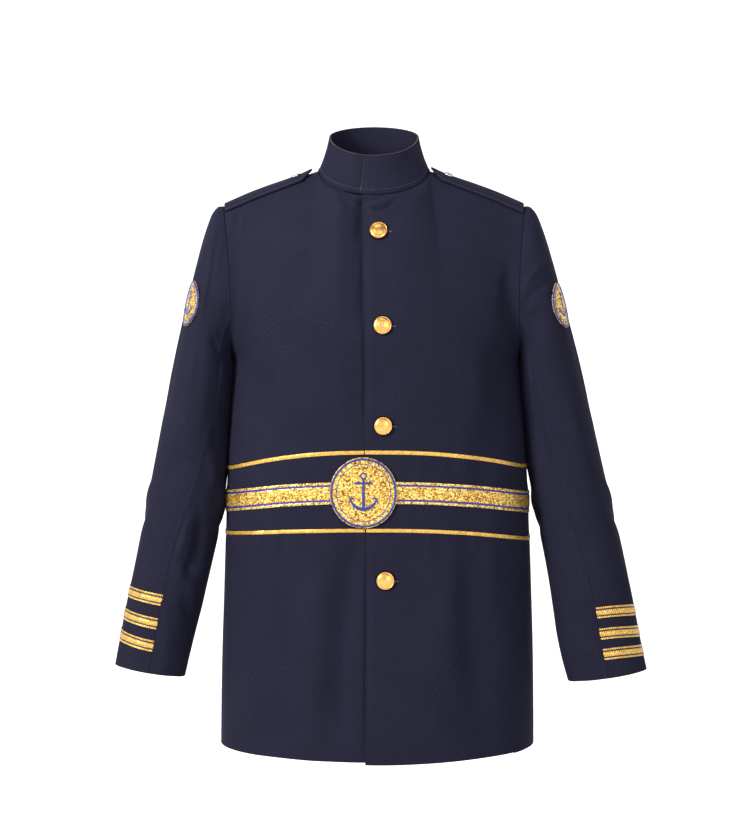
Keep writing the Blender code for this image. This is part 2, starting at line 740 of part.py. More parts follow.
def make_panels():
    # The breast and the whole back only guide what lies on them
    rows = panel_rows()
    half = back_columns()
    whole = np.concatenate([-half[:0:-1], [0.0], half[1:]])
    panels = {
        "front_left": Panel(front_surface("left"), front_columns("left"), rows),
        "front_right": Panel(front_surface("right"), front_columns("right"), rows),
        "back_left": Panel(back_surface, half, rows, facing=-1.0),
        "back_right": Panel(back_surface, -half[::-1], rows, facing=-1.0),
        "back": Panel(back_surface, whole, rows, facing=-1.0),
        "breast": Panel(plain_front, np.linspace(-0.36, 0.36, 13), rows),
    }
    for side in SIDES:
        for half in ("top", "under"):
            panels[f"sleeve_{half}_{side}"] = sleeve_half(side, half)
    for place in ("front_left", "front_right", "back_left", "back_right"):
        # Both walls end in one upright plane along the shoulder seam
        panel = panels[place]
        panel.normals[-1, np.abs(panel.columns) > NECK_SHARE - 0.01, 1] = 0.0
        panel.normals[-1] = unit(panel.normals[-1])
    for side in SIDES:
        mitre_armhole(panels, side)
    return panels


def add_cloth(panels):
    for name, panel in panels.items():
        if name in ("breast", "back"):
            continue
        cloth = SLEEVE_CLOTH if name.startswith("sleeve") else BODY_CLOTH
        mirrored = name.endswith("right") and not name.startswith("back")
        sign = -1.0 if mirrored else 1.0
        slab(name, panel.places, panel.normals, -cloth, 0.0, "navy_cloth", sign)


def add_collar():
    columns = np.linspace(0, 1, COLLAR_COLUMNS + 1)
    panel = Panel(collar_surface, columns, np.linspace(0, 1, COLLAR_ROWS + 1))
    slab("collar", panel.places, panel.normals, -COLLAR_CLOTH, 0.0, "navy_cloth")
    return panel


# Braid and lines
def add_tape(name, panel, columns, edges_at, kind, sign):
    # A band on a panel's facets between two rows, which may change from column to column
    shares = np.array([share for share, _ in TAPE_PROFILES[kind]])
    heights = np.array([height for _, height in TAPE_PROFILES[kind]])
    edges = np.array([edges_at(u) for u in columns])
    rows = edges[:, 0] + (edges[:, 1] - edges[:, 0]) * shares[:, None]
    places, normals = panel.at(np.broadcast_to(columns, rows.shape), rows)
    high = LAY_GAP + np.broadcast_to(heights[:, None], rows.shape)
    slab(name, places, normals, LAY_GAP, high, "gold_braid", sign)


def columns_between(panel, start, end):
    inner = panel.columns[(panel.columns > start + 0.01) & (panel.columns < end - 0.01)]
    return np.concatenate([[start], inner, [end]])


def waist_height(panel, u, place, height, fall, more_on_left):
    # The middle of a waist line at a share of the panel's width
    if place == "back":
        return height - fall - more_on_left * (1 + u) / 2
    row = panel.row_at_height(u, height)
    across = abs(panel.at(u, row)[0][0]) / TRUNK_SECTIONS[3][1]
    extra = more_on_left if place == "front_left" else 0.0
    return height - (fall + extra) * min(across, 1.0) ** FALL_POWER


def add_waist_lines(panels):
    for name, height, fall, more_on_left, width, kind in WAIST_LINES:
        for place in ("front_left", "front_right", "back"):
            panel = panels[place]
            start = LAP_SHARE + 0.006 if place == "front_right" else panel.columns[0]
            columns = columns_between(panel, start, panel.columns[-1])

            def edges_at(u):
                middle = waist_height(panel, u, place, height, fall, more_on_left)
                low = panel.row_at_height(u, middle - width / 2)
                return low, panel.row_at_height(u, middle + width / 2)

            sign = -1.0 if place == "front_right" else 1.0
            add_tape(f"{name}_{place}", panel, columns, edges_at, kind, sign)


def add_cuff_braids(panels):
    for side, sign in SIDES.items():
        panel = panels[f"sleeve_top_{side}"]
        for number, (at_front_seam, at_outside) in enumerate(CUFF_BRAIDS[side], 1):

            def edges_at(share):
                # The outside of the arm is halfway between the two seams
                toward_seam = np.clip(share * 2 - 1, 0, 1)
                middle = at_outside + (at_front_seam - at_outside) * ease(toward_seam)
                high = panel.row_above_end(share, middle + CUFF_BRAID_WIDTH / 2)
                return high, panel.row_above_end(share, middle - CUFF_BRAID_WIDTH / 2)

            columns = columns_between(panel, 0.0, 1.0)
            add_tape(f"cuff_braid_{side}_{number}", panel, columns, edges_at, "cuff", sign)


# Buttons, badges and straps
def axes_at(normal):
    # Two directions across a normal: the second runs as nearly upwards as it can
    up = unit(np.array([0.0, 0.0, 1.0]) - normal * normal[2])
    return np.cross(up, normal), up


def lathe(name, place, normal, profile, top, sides, finish, sign=1.0):
    across, up = axes_at(normal)
    turn = np.linspace(0, 2 * math.pi, sides, endpoint=False)[:, None]
    round_way = across * np.cos(turn) + up * np.sin(turn)
    rings = [place + round_way * radius + normal * height for radius, height in profile[::-1]]
    bottom = place + normal * profile[0][1]
    turned(name, place + normal * top, rings, bottom, finish, sign)


def add_buttons(panels):
    breast = panels["breast"]
    for number, (x, z) in enumerate(BUTTONS, 1):
        place, normal = breast.at(*breast.find(x, z))
        lathe(f"button_{number}", place, normal, BUTTON_PROFILE, BUTTON_TOP, BUTTON_SIDES,
              "gilt_brass")


def add_badge(name, spot_at, half_width, half_height, lift, sign=1.0):
    # An oval laid on a surface, with a raised edge. Spots are measured from its middle.
    turn = np.linspace(0, 2 * math.pi, BADGE_SIDES, endpoint=False)
    rings = []
    for share, height in BADGE_PROFILE:
        spots = [spot_at(share * half_width * math.cos(a), share * half_height * math.sin(a))
                 for a in turn]
        rings.append(np.array([p + n * (lift + height) for p, n in spots]))
    for share in (1.0, 0.6):
        spots = [spot_at(share * half_width * math.cos(a), share * half_height * math.sin(a))
                 for a in turn]
        rings.append(np.array([p + n * lift for p, n in spots]))
    middle, normal = spot_at(0.0, 0.0)
    top = middle + normal * (lift + BADGE_PROFILE[0][1])
    turned(name, top, rings, middle + normal * lift, "badge_gold", sign)


def add_badges(panels):
    breast = panels["breast"]
    badge = WAIST_BADGE

    def waist_spot(across, up):
        return breast.at(*breast.find(badge["x"] + across, badge["z"] + up))

    add_badge("waist_badge", waist_spot, badge["half_width"], badge["half_height"],
              badge["lift"])
    for side, sign in SIDES.items():
        shape = sleeve_surface(side)
        patch = Panel(shape, np.radians(np.linspace(0, 84, 13)), np.linspace(0.22, 0.50, 13))
        middle = np.radians(ARM_BADGE["angle"])
        centre, _ = patch.at(middle, ARM_BADGE["along"])
        step = 0.01
        round_speed = np.linalg.norm(patch.at(middle + step, ARM_BADGE["along"])[0] - centre)
        down_speed = np.linalg.norm(patch.at(middle, ARM_BADGE["along"] + step)[0] - centre)

        def arm_spot(across, up):
            angle = middle + across * step / round_speed
            return patch.at(angle, ARM_BADGE["along"] - up * step / down_speed)

        add_badge(f"arm_badge_{side}", arm_spot, ARM_BADGE["half_width"],
                  ARM_BADGE["half_height"], ARM_BADGE["lift"], sign)


def shoulder_line(x):
    # Points over the shoulder at one place along the seam, and how far each is in front of it
    u = NECK_SHARE + (1 - NECK_SHARE) * (x - SHOULDER_SEAM[0][0]) / (
        SHOULDER_SEAM[-1][0] - SHOULDER_SEAM[0][0]
    )
    rows = np.linspace(2.0, 1.4, 31)
    ahead = trunk_surface(np.full(rows.shape, u), rows, False)
    behind = trunk_surface(np.full(rows.shape, u), rows, True)
    line = np.concatenate([ahead[::-1], behind[1:]])
    steps = np.linalg.norm(np.diff(line, axis=0), axis=1)
    way = np.concatenate([[0.0], np.cumsum(steps)])
    return line, way[len(rows) - 1] - way


def over_shoulder(x, forward):
    line, way = shoulder_line(x)
    return np.array([np.interp(-forward, -way, line[:, axis]) for axis in range(3)])


def strap_grid(side):
    end, tip = STRAP_STATIONS[0][0], STRAP_STATIONS[-1][0]
    stretch = 1 + STRAP_LONGER[side] / (end - tip)
    # The middle line stays on the seam's ridge, which it bends over, so the rest moves
    # forward less where the strap is narrow
    rows = []
    for x, half, _ in STRAP_STATIONS:
        ahead = min(STRAP_FORWARD[side], 0.4 * half)
        rows.append([over_shoulder(end - (end - x) * stretch,
                                   half * across + (ahead if across else 0.0))
                     for across in STRAP_ACROSS])
    places = np.array(rows)
    along = np.gradient(places, axis=0)
    across = np.gradient(places, axis=1)
    normals = unit(np.cross(across, along))
    return places, normals * np.sign(normals[..., 2:])


def add_straps():
    lift = np.array([lift for _, _, lift in STRAP_STATIONS])[:, None]
    stations = np.array([x for x, _, _ in STRAP_STATIONS])
    for side, sign in SIDES.items():
        places, normals = strap_grid(side)
        slab(f"shoulder_strap_{side}", places, normals, lift, lift + STRAP_CLOTH,
             "navy_cloth", sign)
        row = int(np.argmin(np.abs(stations - STUD_PLACE["x"])))
        half = STRAP_STATIONS[row][1]
        share = STUD_PLACE["forward"] / half
        middle = STRAP_ACROSS.index(0.0)
        step = share / STRAP_ACROSS[middle + 1]
        place = places[row, middle] * (1 - step) + places[row, middle + 1] * step
        normal = unit(normals[row, middle] * (1 - step) + normals[row, middle + 1] * step)
        seat = place + normal * (lift[row] + STRAP_CLOTH + STUD_GAP)
        lathe(f"strap_stud_{side}", seat, normal, STUD_PROFILE, STUD_TOP, STUD_SIDES,
              "nickel", sign)


def build():
    clear_scene()
    panels = make_panels()
    add_cloth(panels)
    add_collar()
    add_waist_lines(panels)
    add_cuff_braids(panels)
    add_buttons(panels)
    add_badges(panels)
    add_straps()


build()
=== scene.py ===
# Naval dress jacket: the looks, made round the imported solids.
# Metres in the frame, with +Z up and -Y the front. Tables below are in millimetres.
import math

import bmesh
import bpy
import numpy as np
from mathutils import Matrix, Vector, noise
from mathutils.kdtree import KDTree


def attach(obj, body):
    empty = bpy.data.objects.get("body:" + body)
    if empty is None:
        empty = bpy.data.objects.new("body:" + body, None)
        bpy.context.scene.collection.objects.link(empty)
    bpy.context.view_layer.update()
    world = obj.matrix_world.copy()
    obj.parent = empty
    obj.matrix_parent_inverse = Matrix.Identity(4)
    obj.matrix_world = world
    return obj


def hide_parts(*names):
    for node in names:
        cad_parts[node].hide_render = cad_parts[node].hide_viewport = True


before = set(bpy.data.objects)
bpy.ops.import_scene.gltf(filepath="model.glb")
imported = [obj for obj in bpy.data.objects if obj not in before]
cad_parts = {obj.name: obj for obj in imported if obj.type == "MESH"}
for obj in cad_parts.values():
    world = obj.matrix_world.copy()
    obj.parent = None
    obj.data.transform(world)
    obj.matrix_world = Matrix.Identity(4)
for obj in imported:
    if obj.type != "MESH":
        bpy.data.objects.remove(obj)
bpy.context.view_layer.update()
mm = 0.001
scene = bpy.context.scene


# Small tools

def smooth(x, low=0.0, high=1.0):
    t = np.clip((np.asarray(x, float) - low) / (high - low), 0, 1)
    return t * t * (3 - 2 * t)


def unit(v):
    return v / np.maximum(np.linalg.norm(v, axis=-1, keepdims=True), 1e-12)


def colour(hexCode):
    # sRGB hex to linear, with full alpha
    parts = [int(hexCode[i:i + 2], 16) / 255 for i in (1, 3, 5)]
    return [c / 12.92 if c <= 0.04045 else ((c + 0.055) / 1.055) ** 2.4 for c in parts] + [1.0]


def meshObject(name, points, faces, uv=None, parts=None, sharp=40):
    # uv and parts have a row for each point. Parts are shares of a braid's width, and its
    # stripes read them from a float attribute.
    mesh = bpy.data.meshes.new(name)
    mesh.from_pydata(np.asarray(points).tolist(), [], faces)
    if uv is not None:
        corner = np.zeros(len(mesh.loops), int)
        mesh.loops.foreach_get("vertex_index", corner)
        layer = mesh.uv_layers.new(name="cloth")
        layer.data.foreach_set("uv", np.asarray(uv, float)[corner].ravel())
    if parts is not None:
        attribute = mesh.attributes.new("part", "FLOAT", "POINT")
        attribute.data.foreach_set("value", np.asarray(parts, np.float32))
    mesh.shade_smooth()
    mesh.set_sharp_from_angle(angle=math.radians(sharp))
    made = bpy.data.objects.new(name, mesh)
    scene.collection.objects.link(made)
    return made


def place(obj, material, replaced=()):
    # The piece gets its finish, rides on the one body and stands for its solids
    obj.data.materials.clear()
    for m in material if isinstance(material, (list, tuple)) else [material]:
        obj.data.materials.append(m)
    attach(obj, "root")
    if replaced:
        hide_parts(*replaced)
    return obj


def gridFaces(rows, columns, start=0, closed=False, flip=False):
    # Quads over a grid of numbered points, joined round its columns if closed
    faces = []
    for r in range(rows - 1):
        for c in range(columns if closed else columns - 1):
            d = (c + 1) % columns
            quad = (start + r * columns + c, start + r * columns + d,
                    start + (r + 1) * columns + d, start + (r + 1) * columns + c)
            faces.append(quad[::-1] if flip else quad)
    return faces


def tubeFaces(rings, sides, closed=False, flip=False):
    # Rings of points joined up: into one round ring if closed, or else with a face at each end
    if closed:
        total = rings * sides
        return [tuple(i % total for i in face) for face in gridFaces(rings + 1, sides, closed=True)]
    ends = [tuple(range(sides))[::-1], tuple(range((rings - 1) * sides, rings * sides))]
    faces = gridFaces(rings, sides, closed=True, flip=flip)
    return faces + [end[::-1] if flip else end for end in ends]


def lengthAlong(points):
    # Metres from the start of each line of points
    steps = np.linalg.norm(np.diff(points, axis=0), axis=-1)
    return np.concatenate([0 * steps[:1], np.cumsum(steps, 0)])


def solidPoints(nodeName):
    return np.array([v.co[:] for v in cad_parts[nodeName].data.vertices])


# Reading the solids: each cloth wall is a slab on a grid of points, so its two faces are
# found again as grids. Row 0 is the lower edge, and columns run left to right from outside.

reading = {
    "weld": 0.02,       # mm under which two points of a solid are one
    "rimMatch": 0.03,   # mm that an edge through the cloth may differ from its thickness
    "rimTurn": 0.7,     # how far the normals at its ends point apart along it, at least
}
# Cosines of a line's turn: below the first it keeps its corner, above the second it is smooth
cornerBend = (0.62, 0.90)
panelGrids = {
    # node: rows, columns, cloth thickness in mm
    "front_left": (24, 15, 2.0),
    "front_right": (24, 15, 2.0),
    "back_left": (24, 11, 2.0),
    "back_right": (24, 11, 2.0),
    "sleeve_top_left": (21, 12, 1.8),
    "sleeve_top_right": (21, 12, 1.8),
    "sleeve_under_left": (21, 8, 1.8),
    "sleeve_under_right": (21, 8, 1.8),
    "collar": (4, 33, 2.6),
    "shoulder_strap_left": (9, 5, 2.6),
    "shoulder_strap_right": (9, 5, 2.6),
}


def sheetGrid(sheet, rows, columns):
    # Orders one face of a slab: its outline gives the corners, and rows follow from there
    links, edgeLinks = {}, {}
    for face in sheet:
        for edge in face.edges:
            a, b = edge.verts
            links.setdefault(a, set()).add(b)
            links.setdefault(b, set()).add(a)
            if sum(f in sheet for f in edge.link_faces) == 1:
                edgeLinks.setdefault(a, set()).add(b)
                edgeLinks.setdefault(b, set()).add(a)
    loop = [next(iter(sorted(edgeLinks, key=lambda v: v.index)))]
    loop.append(sorted(edgeLinks[loop[0]], key=lambda v: v.index)[0])
    while len(loop) < len(edgeLinks):
        loop.append(next(v for v in edgeLinks[loop[-1]] if v is not loop[-2]))
    count = len(loop)
    if count != 2 * (rows + columns) - 4:
        raise ValueError(f"an outline of {count} points doesn't fit {rows} by {columns}")
    spots = np.array([v.co[:] for v in loop])
    arrive = unit(spots - np.roll(spots, 1, 0))
    turn = np.arccos(np.clip(np.sum(arrive * np.roll(arrive, -1, 0), -1), -1, 1))
    offsets = np.array([0, columns - 1, columns + rows - 2, 2 * columns + rows - 3])
    scores = [turn[(k + offsets) % count].sum() for k in range(count)]
    first = int(np.argmax(scores))
    other = (first + columns + rows - 2) % count
    height = [spots[(k + np.arange(columns)) % count, 2].mean() for k in (first, other)]
    first = first if height[0] <= height[1] else other
    used, grid = set(), []
    for r in range(rows):
        here = loop[(first - r) % count] if r < rows - 1 else None
        if r == 0:
            row = [loop[(first + c) % count] for c in range(columns)]
        elif r == rows - 1:
            row = [loop[(first - r - c) % count] for c in range(columns)]
        else:
            near = {v for u in grid[-1] for v in links[u]} - used
            row = [here]
            while len(row) < columns:
                row.append(next(v for v in links[row[-1]] if v in near and v not in row))
        used.update(row)
        grid.append(row)
    return np.array([[v.co[:] for v in row] for row in grid])


def solidGrids(node, rows, columns, thickness):
    # The outer and inner grids of a cloth solid
    work = bmesh.new()
    work.from_mesh(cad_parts[node].data)
    bmesh.ops.remove_doubles(work, verts=work.verts, dist=reading["weld"] * mm)
    work.normal_update()

    def through(edge):
        # An edge that is as long as the cloth is thick, and goes from one face to the other
        a, b = edge.verts
        apart = (a.normal - b.normal).dot((a.co - b.co).normalized())
        fits = abs(edge.calc_length() / mm - thickness) < reading["rimMatch"]
        return fits and abs(apart) > reading["rimTurn"]

    rim = {f for f in work.faces if any(through(e) for e in f.edges)}
    left, sheets = set(work.faces) - rim, []
    while left:
        sheet, wave = set(), [left.pop()]
        while wave:
            face = wave.pop()
            sheet.add(face)
            for edge in face.edges:
                for near in edge.link_faces:
                    if near in left:
                        left.discard(near)
                        wave.append(near)
        sheets.append(sheet)
    sheets = sorted(sheets, key=len)[-2:]
    sheets.sort(key=lambda sheet: -sum(f.calc_area() for f in sheet))
    outer, inner = (sheetGrid(sheet, rows, columns) for sheet in sheets)
    if np.linalg.norm(outer - inner, axis=-1).max() > 2 * thickness * mm:
        inner = inner[:, ::-1]
    across = np.gradient(outer, axis=1)
    along = np.gradient(outer, axis=0)
    if np.sum(np.cross(across, along) * (outer - inner)) < 0:
        outer, inner = outer[:, ::-1], inner[:, ::-1]
    work.free()
    return outer, inner


def curved(points, at):
    # A smooth line through rows of points, which keeps the corners that they have
    step = np.diff(points, axis=0)
    before = np.concatenate([step[:1], step])
    after = np.concatenate([step, step[-1:]])
    size = np.linalg.norm(before, axis=-1) * np.linalg.norm(after, axis=-1)
    bend = np.sum(before * after, -1) / np.maximum(size, 1e-15)
    even = smooth(bend, *cornerBend)[..., None]
    middle = (before + after) / 2
    arrive, leave = before + (middle - before) * even, after + (middle - after) * even
    i = np.clip(at.astype(int), 0, len(points) - 2)
    t = (at - i).reshape((-1,) + (1,) * (points.ndim - 1))
    early = points[i] * (1 + 2 * t) * (1 - t) ** 2 + leave[i] * t * (1 - t) ** 2
    return early + points[i + 1] * t ** 2 * (3 - 2 * t) + arrive[i + 1] * t ** 2 * (t - 1)


# Creases, as seen from one side. Each is a line from 1 to 2 that bows sideways, with a half
# width on its left and right, and a height at its middle, below zero for a trough.

creases = {
    "front": (
        # x1, z1, x2, z2, bow, wideLeft, wideRight, height
        # wearer's right front
        (-52, -30, -28, -64, -4, 9, 6, 1.3),
        (-15.5, -34, -12.5, -54, 0, 6, 5, -3.6),  # into the left front's edge, from here on
        (-14, -44, -12.5, -108, 0, 9, 8, -3.6),
        (-12.5, -96, -12, -210, 0, 6, 6, -2.2),
        (-11.5, -190, -9.6, -342, 0, 4, 5, -1.8),
        (-8.6, -474, -9.2, -775, 0, 4, 5, -1.8),
        (-136, -246, -157, -366, 4, 20, 11, -2.4),
        (-118, -250, -136, -372, 6, 11, 20, 1.6),
        (-24, -470, -46, -770, -6, 26, 17, -6.0),
        (-74, -500, -88, -770, 4, 26, 24, 2.2),
        (-174, -480, -180, -640, 5, 14, 16, -2.6),
        (-151, -462, -158, -560, 0, 9, 8, 1.7),
        (-141, -463, -143, -512, 0, 4, 5, -1.1),
        (-128, -462, -131, -506, 2, 5, 5, 1.0),
        (-117, -463, -117, -500, 0, 4, 4, -0.9),
        (-96, -463, -97, -522, 0, 7, 6, 0.7),
        (-140, -394, -143, -455, 0, 6, 6, 0.7),
        (-66, -430, -68, -462, 0, 4, 4, -0.6),
        (-176, -50, -180, -84, -3, 4, 2.5, -1.9),
        (-168, -52, -172, -90, -2, 4, 5, 1.2),
        (-186, -150, -172, -300, 6, 9, 12, -1.6),
        # wearer's left front
        (-13, -43.5, 15, -36, -1, 2.6, 2.6, -1.7),
        (-12, -47.5, 24, -40, -5, 3.2, 3.0, 1.5),
        (-12, -52, 29, -41, -9, 3.0, 2.6, -1.9),
        (-12, -59, 34, -48, -9, 5, 4, 0.9),
        (172, -132, 180, -232, -4, 8, 12, -3.4),
        (140, -236, 186, -360, 4, 20, 26, -2.4),
        (104, -226, 150, -360, 5, 30, 30, 0.7),
        (126, -478, 146, -730, -8, 22, 34, -3.4),
        (98, -480, 112, -740, -6, 26, 20, 2.2),
        (70, -462, 73, -512, 0, 6, 6, 0.8),
        (84, -463, 88, -500, 0, 5, 5, -0.7),
        (127, -462, 131, -496, 0, 5, 5, 0.8),
        (100, -372, 103, -398, 0, 5, 5, -0.6),
        (48, -372, 50, -396, 0, 5, 5, -0.5),
        (14, -80, 24, -78, -1, 2.5, 2.5, -0.5),
        (150, -466, 153, -600, 0, 12, 12, 1.6),
        (60, -560, 44, -770, 6, 30, 30, 1.2),
    ),
    "back": (
        # seen as in the frame, so x is the wearer's left as above
        (150, -120, 118, -330, 8, 14, 20, -2.6),
        (-152, -126, -112, -340, -8, 20, 14, -2.8),
        (128, -140, 92, -310, 6, 20, 13, 1.8),
        (-126, -150, -90, -300, -6, 14, 18, 1.7),
        (-50, -34, 52, -36, -9, 7, 9, -1.6),
        (-44, -47, 46, -48, -9, 6, 8, 1.1),
        (70, -480, 92, -765, 5, 18, 26, 2.6),
        (-78, -480, -98, -765, -6, 24, 18, 2.4),
        (6, -440, 0, -765, 5, 26, 22, -3.0),
        (140, -470, 160, -765, 0, 18, 20, -2.8),
        (-136, -470, -152, -765, 4, 20, 18, -2.6),
        (40, -462, 44, -520, 0, 6, 6, 0.8),
        (-34, -463, -36, -515, 0, 6, 5, -0.8),
        (106, -463, 110, -512, 0, 6, 6, 0.9),
        (-108, -463, -112, -508, 0, 5, 6, 0.8),
        (20, -390, 22, -448, 0, 8, 8, -0.7),
        (178, -70, 172, -130, 3, 5, 4, -1.5),
        (-178, -74, -170, -138, -3, 4, 5, -1.6),
    ),
    "frontSleeves": (
        # the wearer's right arm: its pressed edge, then the inside of the elbow
        (-206, -64, -229, -210, 3, 4.5, 3.0, 1.9),
        (-229, -205, -246, -330, 1, 5, 4, 0.9),
        (-198, -80, -206, -150, 0, 3.5, 3.5, 0.7),
        (-212, -210, -188, -262, -3, 6, 5, -1.4),
        (-200, -230, -193, -320, -2, 4, 5, 1.0),
        (-228, -446, -246, -540, 6, 7, 11, -4.2),
        (-243, -448, -262, -520, 3, 7, 6, 2.2),
        (-268, -498, -232, -536, 3, 5, 6, -2.0),
        (-262, -520, -228, -566, 3, 6, 6, 1.8),
        (-250, -552, -236, -640, 3, 8, 8, -1.6),
        (-272, -560, -270, -640, 0, 9, 9, 1.0),
        (-218, -370, -206, -430, 2, 5, 6, 1.4),
        (-212, -330, -203, -392, 2, 5, 5, -1.5),
        (-262, -330, -292, -520, -6, 20, 18, 1.4),
        # the wearer's left arm: rays from the armpit, then ridges beside the body
        (192, -162, 226, -120, 3, 5, 5, 1.8),
        (194, -176, 232, -146, 3, 5, 4, -1.6),
        (194, -190, 226, -176, 2, 4, 4, 1.1),
        (203, -244, 211, -332, 2, 4, 5, 1.9),
        (209, -232, 222, -326, 3, 4, 5, -1.3),
        (216, -330, 246, -470, 3, 8, 8, -1.5),
        (252, -296, 292, -452, -3, 10, 12, 1.4),
        (262, -540, 290, -640, 4, 9, 12, 1.6),
        (272, -630, 296, -658, 2, 5, 5, -1.5),
        (280, -618, 304, -646, 2, 5, 5, 1.2),
        (248, -470, 274, -560, -3, 9, 8, -1.4),
    ),
    "backSleeves": (
        (-236, -70, -262, -230, 3, 6, 6, 1.3),
        (-214, -200, -246, -300, -5, 9, 9, -1.7),
        (-222, -420, -272, -462, -5, 8, 8, -2.5),
        (-230, -448, -282, -486, -5, 8, 8, 2.2),
        (-238, -480, -284, -512, -4, 8, 7, -1.8),
        (-262, -540, -284, -650, 3, 9, 9, 1.3),
        (236, -74, 262, -226, -3, 6, 6, 1.3),
        (216, -206, 250, -306, 5, 9, 9, -1.8),
        (226, -426, 276, -470, 5, 8, 8, -2.3),
        (236, -456, 288, -492, 4, 8, 8, 2.1),
        (240, -486, 290, -522, 4, 8, 7, -1.7),
        (268, -548, 292, -650, -3, 9, 9, 1.3),
    ),
    "sides": (
        # seen from the side, so the first numbers are y
        (-30, -130, -12, -330, 4, 9, 9, 1.4),
        (30, -120, 36, -330, -4, 12, 9, -1.4),
        (-44, -400, 26, -452, -5, 9, 9, 1.5),
        (-40, -440, 18, -484, -4, 8, 8, -1.6),
        (-52, -520, -40, -640, 3, 8, 8, -1.3),
        (6, -520, -4, -650, 3, 9, 9, 1.2),
        (40, -480, 34, -765, 3, 16, 16, -2.0),
        (-46, -480, -50, -765, 3, 16, 16, 1.8),
    ),
    "collar": (
        (-11, 18, -16.6, -36, 0, 2.2, 2.0, -1.5),  # where the under half dips below the other
        (-61, 44, -68, 2, 2, 4, 3, 1.6),
        (-54, 40, -60, 4, 2, 4, 4, -1.1),
        (52, 40, 57, 0, -2, 4, 3, 1.4),
        (45, 34, 49, 2, -2, 5, 4, -0.8),
        (-30, 30, -34, -10, 0, 9, 9, 0.5),
        (22, 26, 26, -12, 0, 9, 8, 0.4),
    ),
}
creaseForm = {
    "narrow": 0.75,     # share of its half width that a crease has at its start
    "widening": 0.45,   # share that it gains on the way down
    "comesUp": 0.3,     # share of its length over which it reaches its height
    "dies": 0.35,       # and over which it goes down again
    "low": 0.25,        # share of its height that it has at both ends
    "beyond": 0.8,      # of its half width that it runs on past its ends
    "least": 4.0,       # mm that it runs on at least
}


def creaseHeight(first, second, table):
    # Heights in mm at places given by two of their coordinates, in mm
    form = creaseForm
    total = np.zeros(first.shape)
    for x1, z1, x2, z2, bow, wideLeft, wideRight, height in table:
        runX, runZ = x2 - x1, z2 - z1
        length = math.hypot(runX, runZ)
        share = ((first - x1) * runX + (second - z1) * runZ) / length ** 2
        inside = np.clip(share, 0, 1)
        off = ((first - x1) * -runZ + (second - z1) * runX) / length  # left of the way down is +
        off = off - bow * 4 * inside * (1 - inside)
        width = np.where(off > 0, wideRight, wideLeft) * (form["narrow"] + form["widening"] * inside)
        beyond = (share - inside) * length / (form["beyond"] * width + form["least"])
        taper = smooth(inside, 0, form["comesUp"]) * smooth(1 - inside, 0, form["dies"])
        taper = form["low"] + (1 - form["low"]) * taper
        total += height * taper * np.exp(-(off / width) ** 2 - beyond ** 2)
    return total


drape = {
    "strength": 1.5,        # how strongly the tables above are drawn
    "softLumps": 0.3,       # mm of slow unevenness
    "lumpSize": 130.0,      # mm
    "smallLumps": 0.08,     # mm of finer unevenness
    "smallSize": 24.0,      # mm
    "seamGroove": 0.5,      # mm
    "turnIn": 0.46,         # of the thickness by which a free edge rounds away
    "armPress": 2.8,        # mm that a sleeve bulges where it hangs against the side
    "pressTop": (205, 245),      # mm below the frame's origin between which the bulge comes up
    "pressFoot": (-425, -370),   # heights in mm between which it ends
    "toward": (0.05, 0.55),      # how far cloth faces a side for none or all of a crease there
    "inward": (0.55, 0.95),      # the same for the sleeve's inner side
    "sideways": (0.6, 0.95),     # the same for the creases seen from the side
    "trunkSides": 0.6,      # share of those creases that the trunk gets
    "pucker": 0.22,         # mm of ripple where a seam draws the cloth in
    "puckerPitch": 8.5,     # mm
    "puckerReach": 13.0,    # mm
    "seamOpens": 60,        # mm above the cuff or the hem where seams begin to open
    "seamOpen": 15,         # mm above it where they are as open as they get
    "reachMore": {"sleeve": 2.5, "body": 4.0},  # times further that edges reach there
    "straysFrom": -0.6,     # below it, the wall's inner face lies well behind the outer one
}


def lumps(points, size, seed):
    # Slow, seeded noise at each place, about -1 to 1
    flat = points.reshape(-1, 3) / (size * mm) + seed
    values = np.array([noise.noise(Vector(p)) for p in flat])
    return values.reshape(points.shape[:-1])


def reliefAt(points, normals, kind):
    # How far the cloth stands off its plain form, in mm, from where it is and how it faces
    x, y, z = (points[..., i] / mm for i in range(3))
    ahead = smooth(-normals[..., 1], *drape["toward"])
    behind = smooth(normals[..., 1], *drape["toward"])
    total = drape["smallLumps"] * lumps(points, drape["smallSize"], 7.7)
    if kind == "collar":
        return total + creaseHeight(x, z, creases["collar"]) * ahead
    if kind == "strap":
        return total
    sleeve = kind == "sleeve"
    if sleeve:
        # the inner side lies against the trunk down to the waist
        inward = smooth(-normals[..., 0] * np.sign(x), *drape["inward"])
        pressed = smooth(-z, *drape["pressTop"]) * smooth(z, *drape["pressFoot"])
        total += drape["armPress"] * inward * pressed
    sideways = smooth(np.abs(normals[..., 0]), *drape["sideways"])
    sideways = sideways * (1 if sleeve else drape["trunkSides"])
    folds = creaseHeight(x, z, creases["frontSleeves" if sleeve else "front"]) * ahead
    folds += creaseHeight(x, z, creases["backSleeves" if sleeve else "back"]) * behind
    folds += creaseHeight(y, z, creases["sides"]) * sideways
    total += drape["strength"] * folds
    return total + drape["softLumps"] * lumps(points, drape["lumpSize"], 3.1)


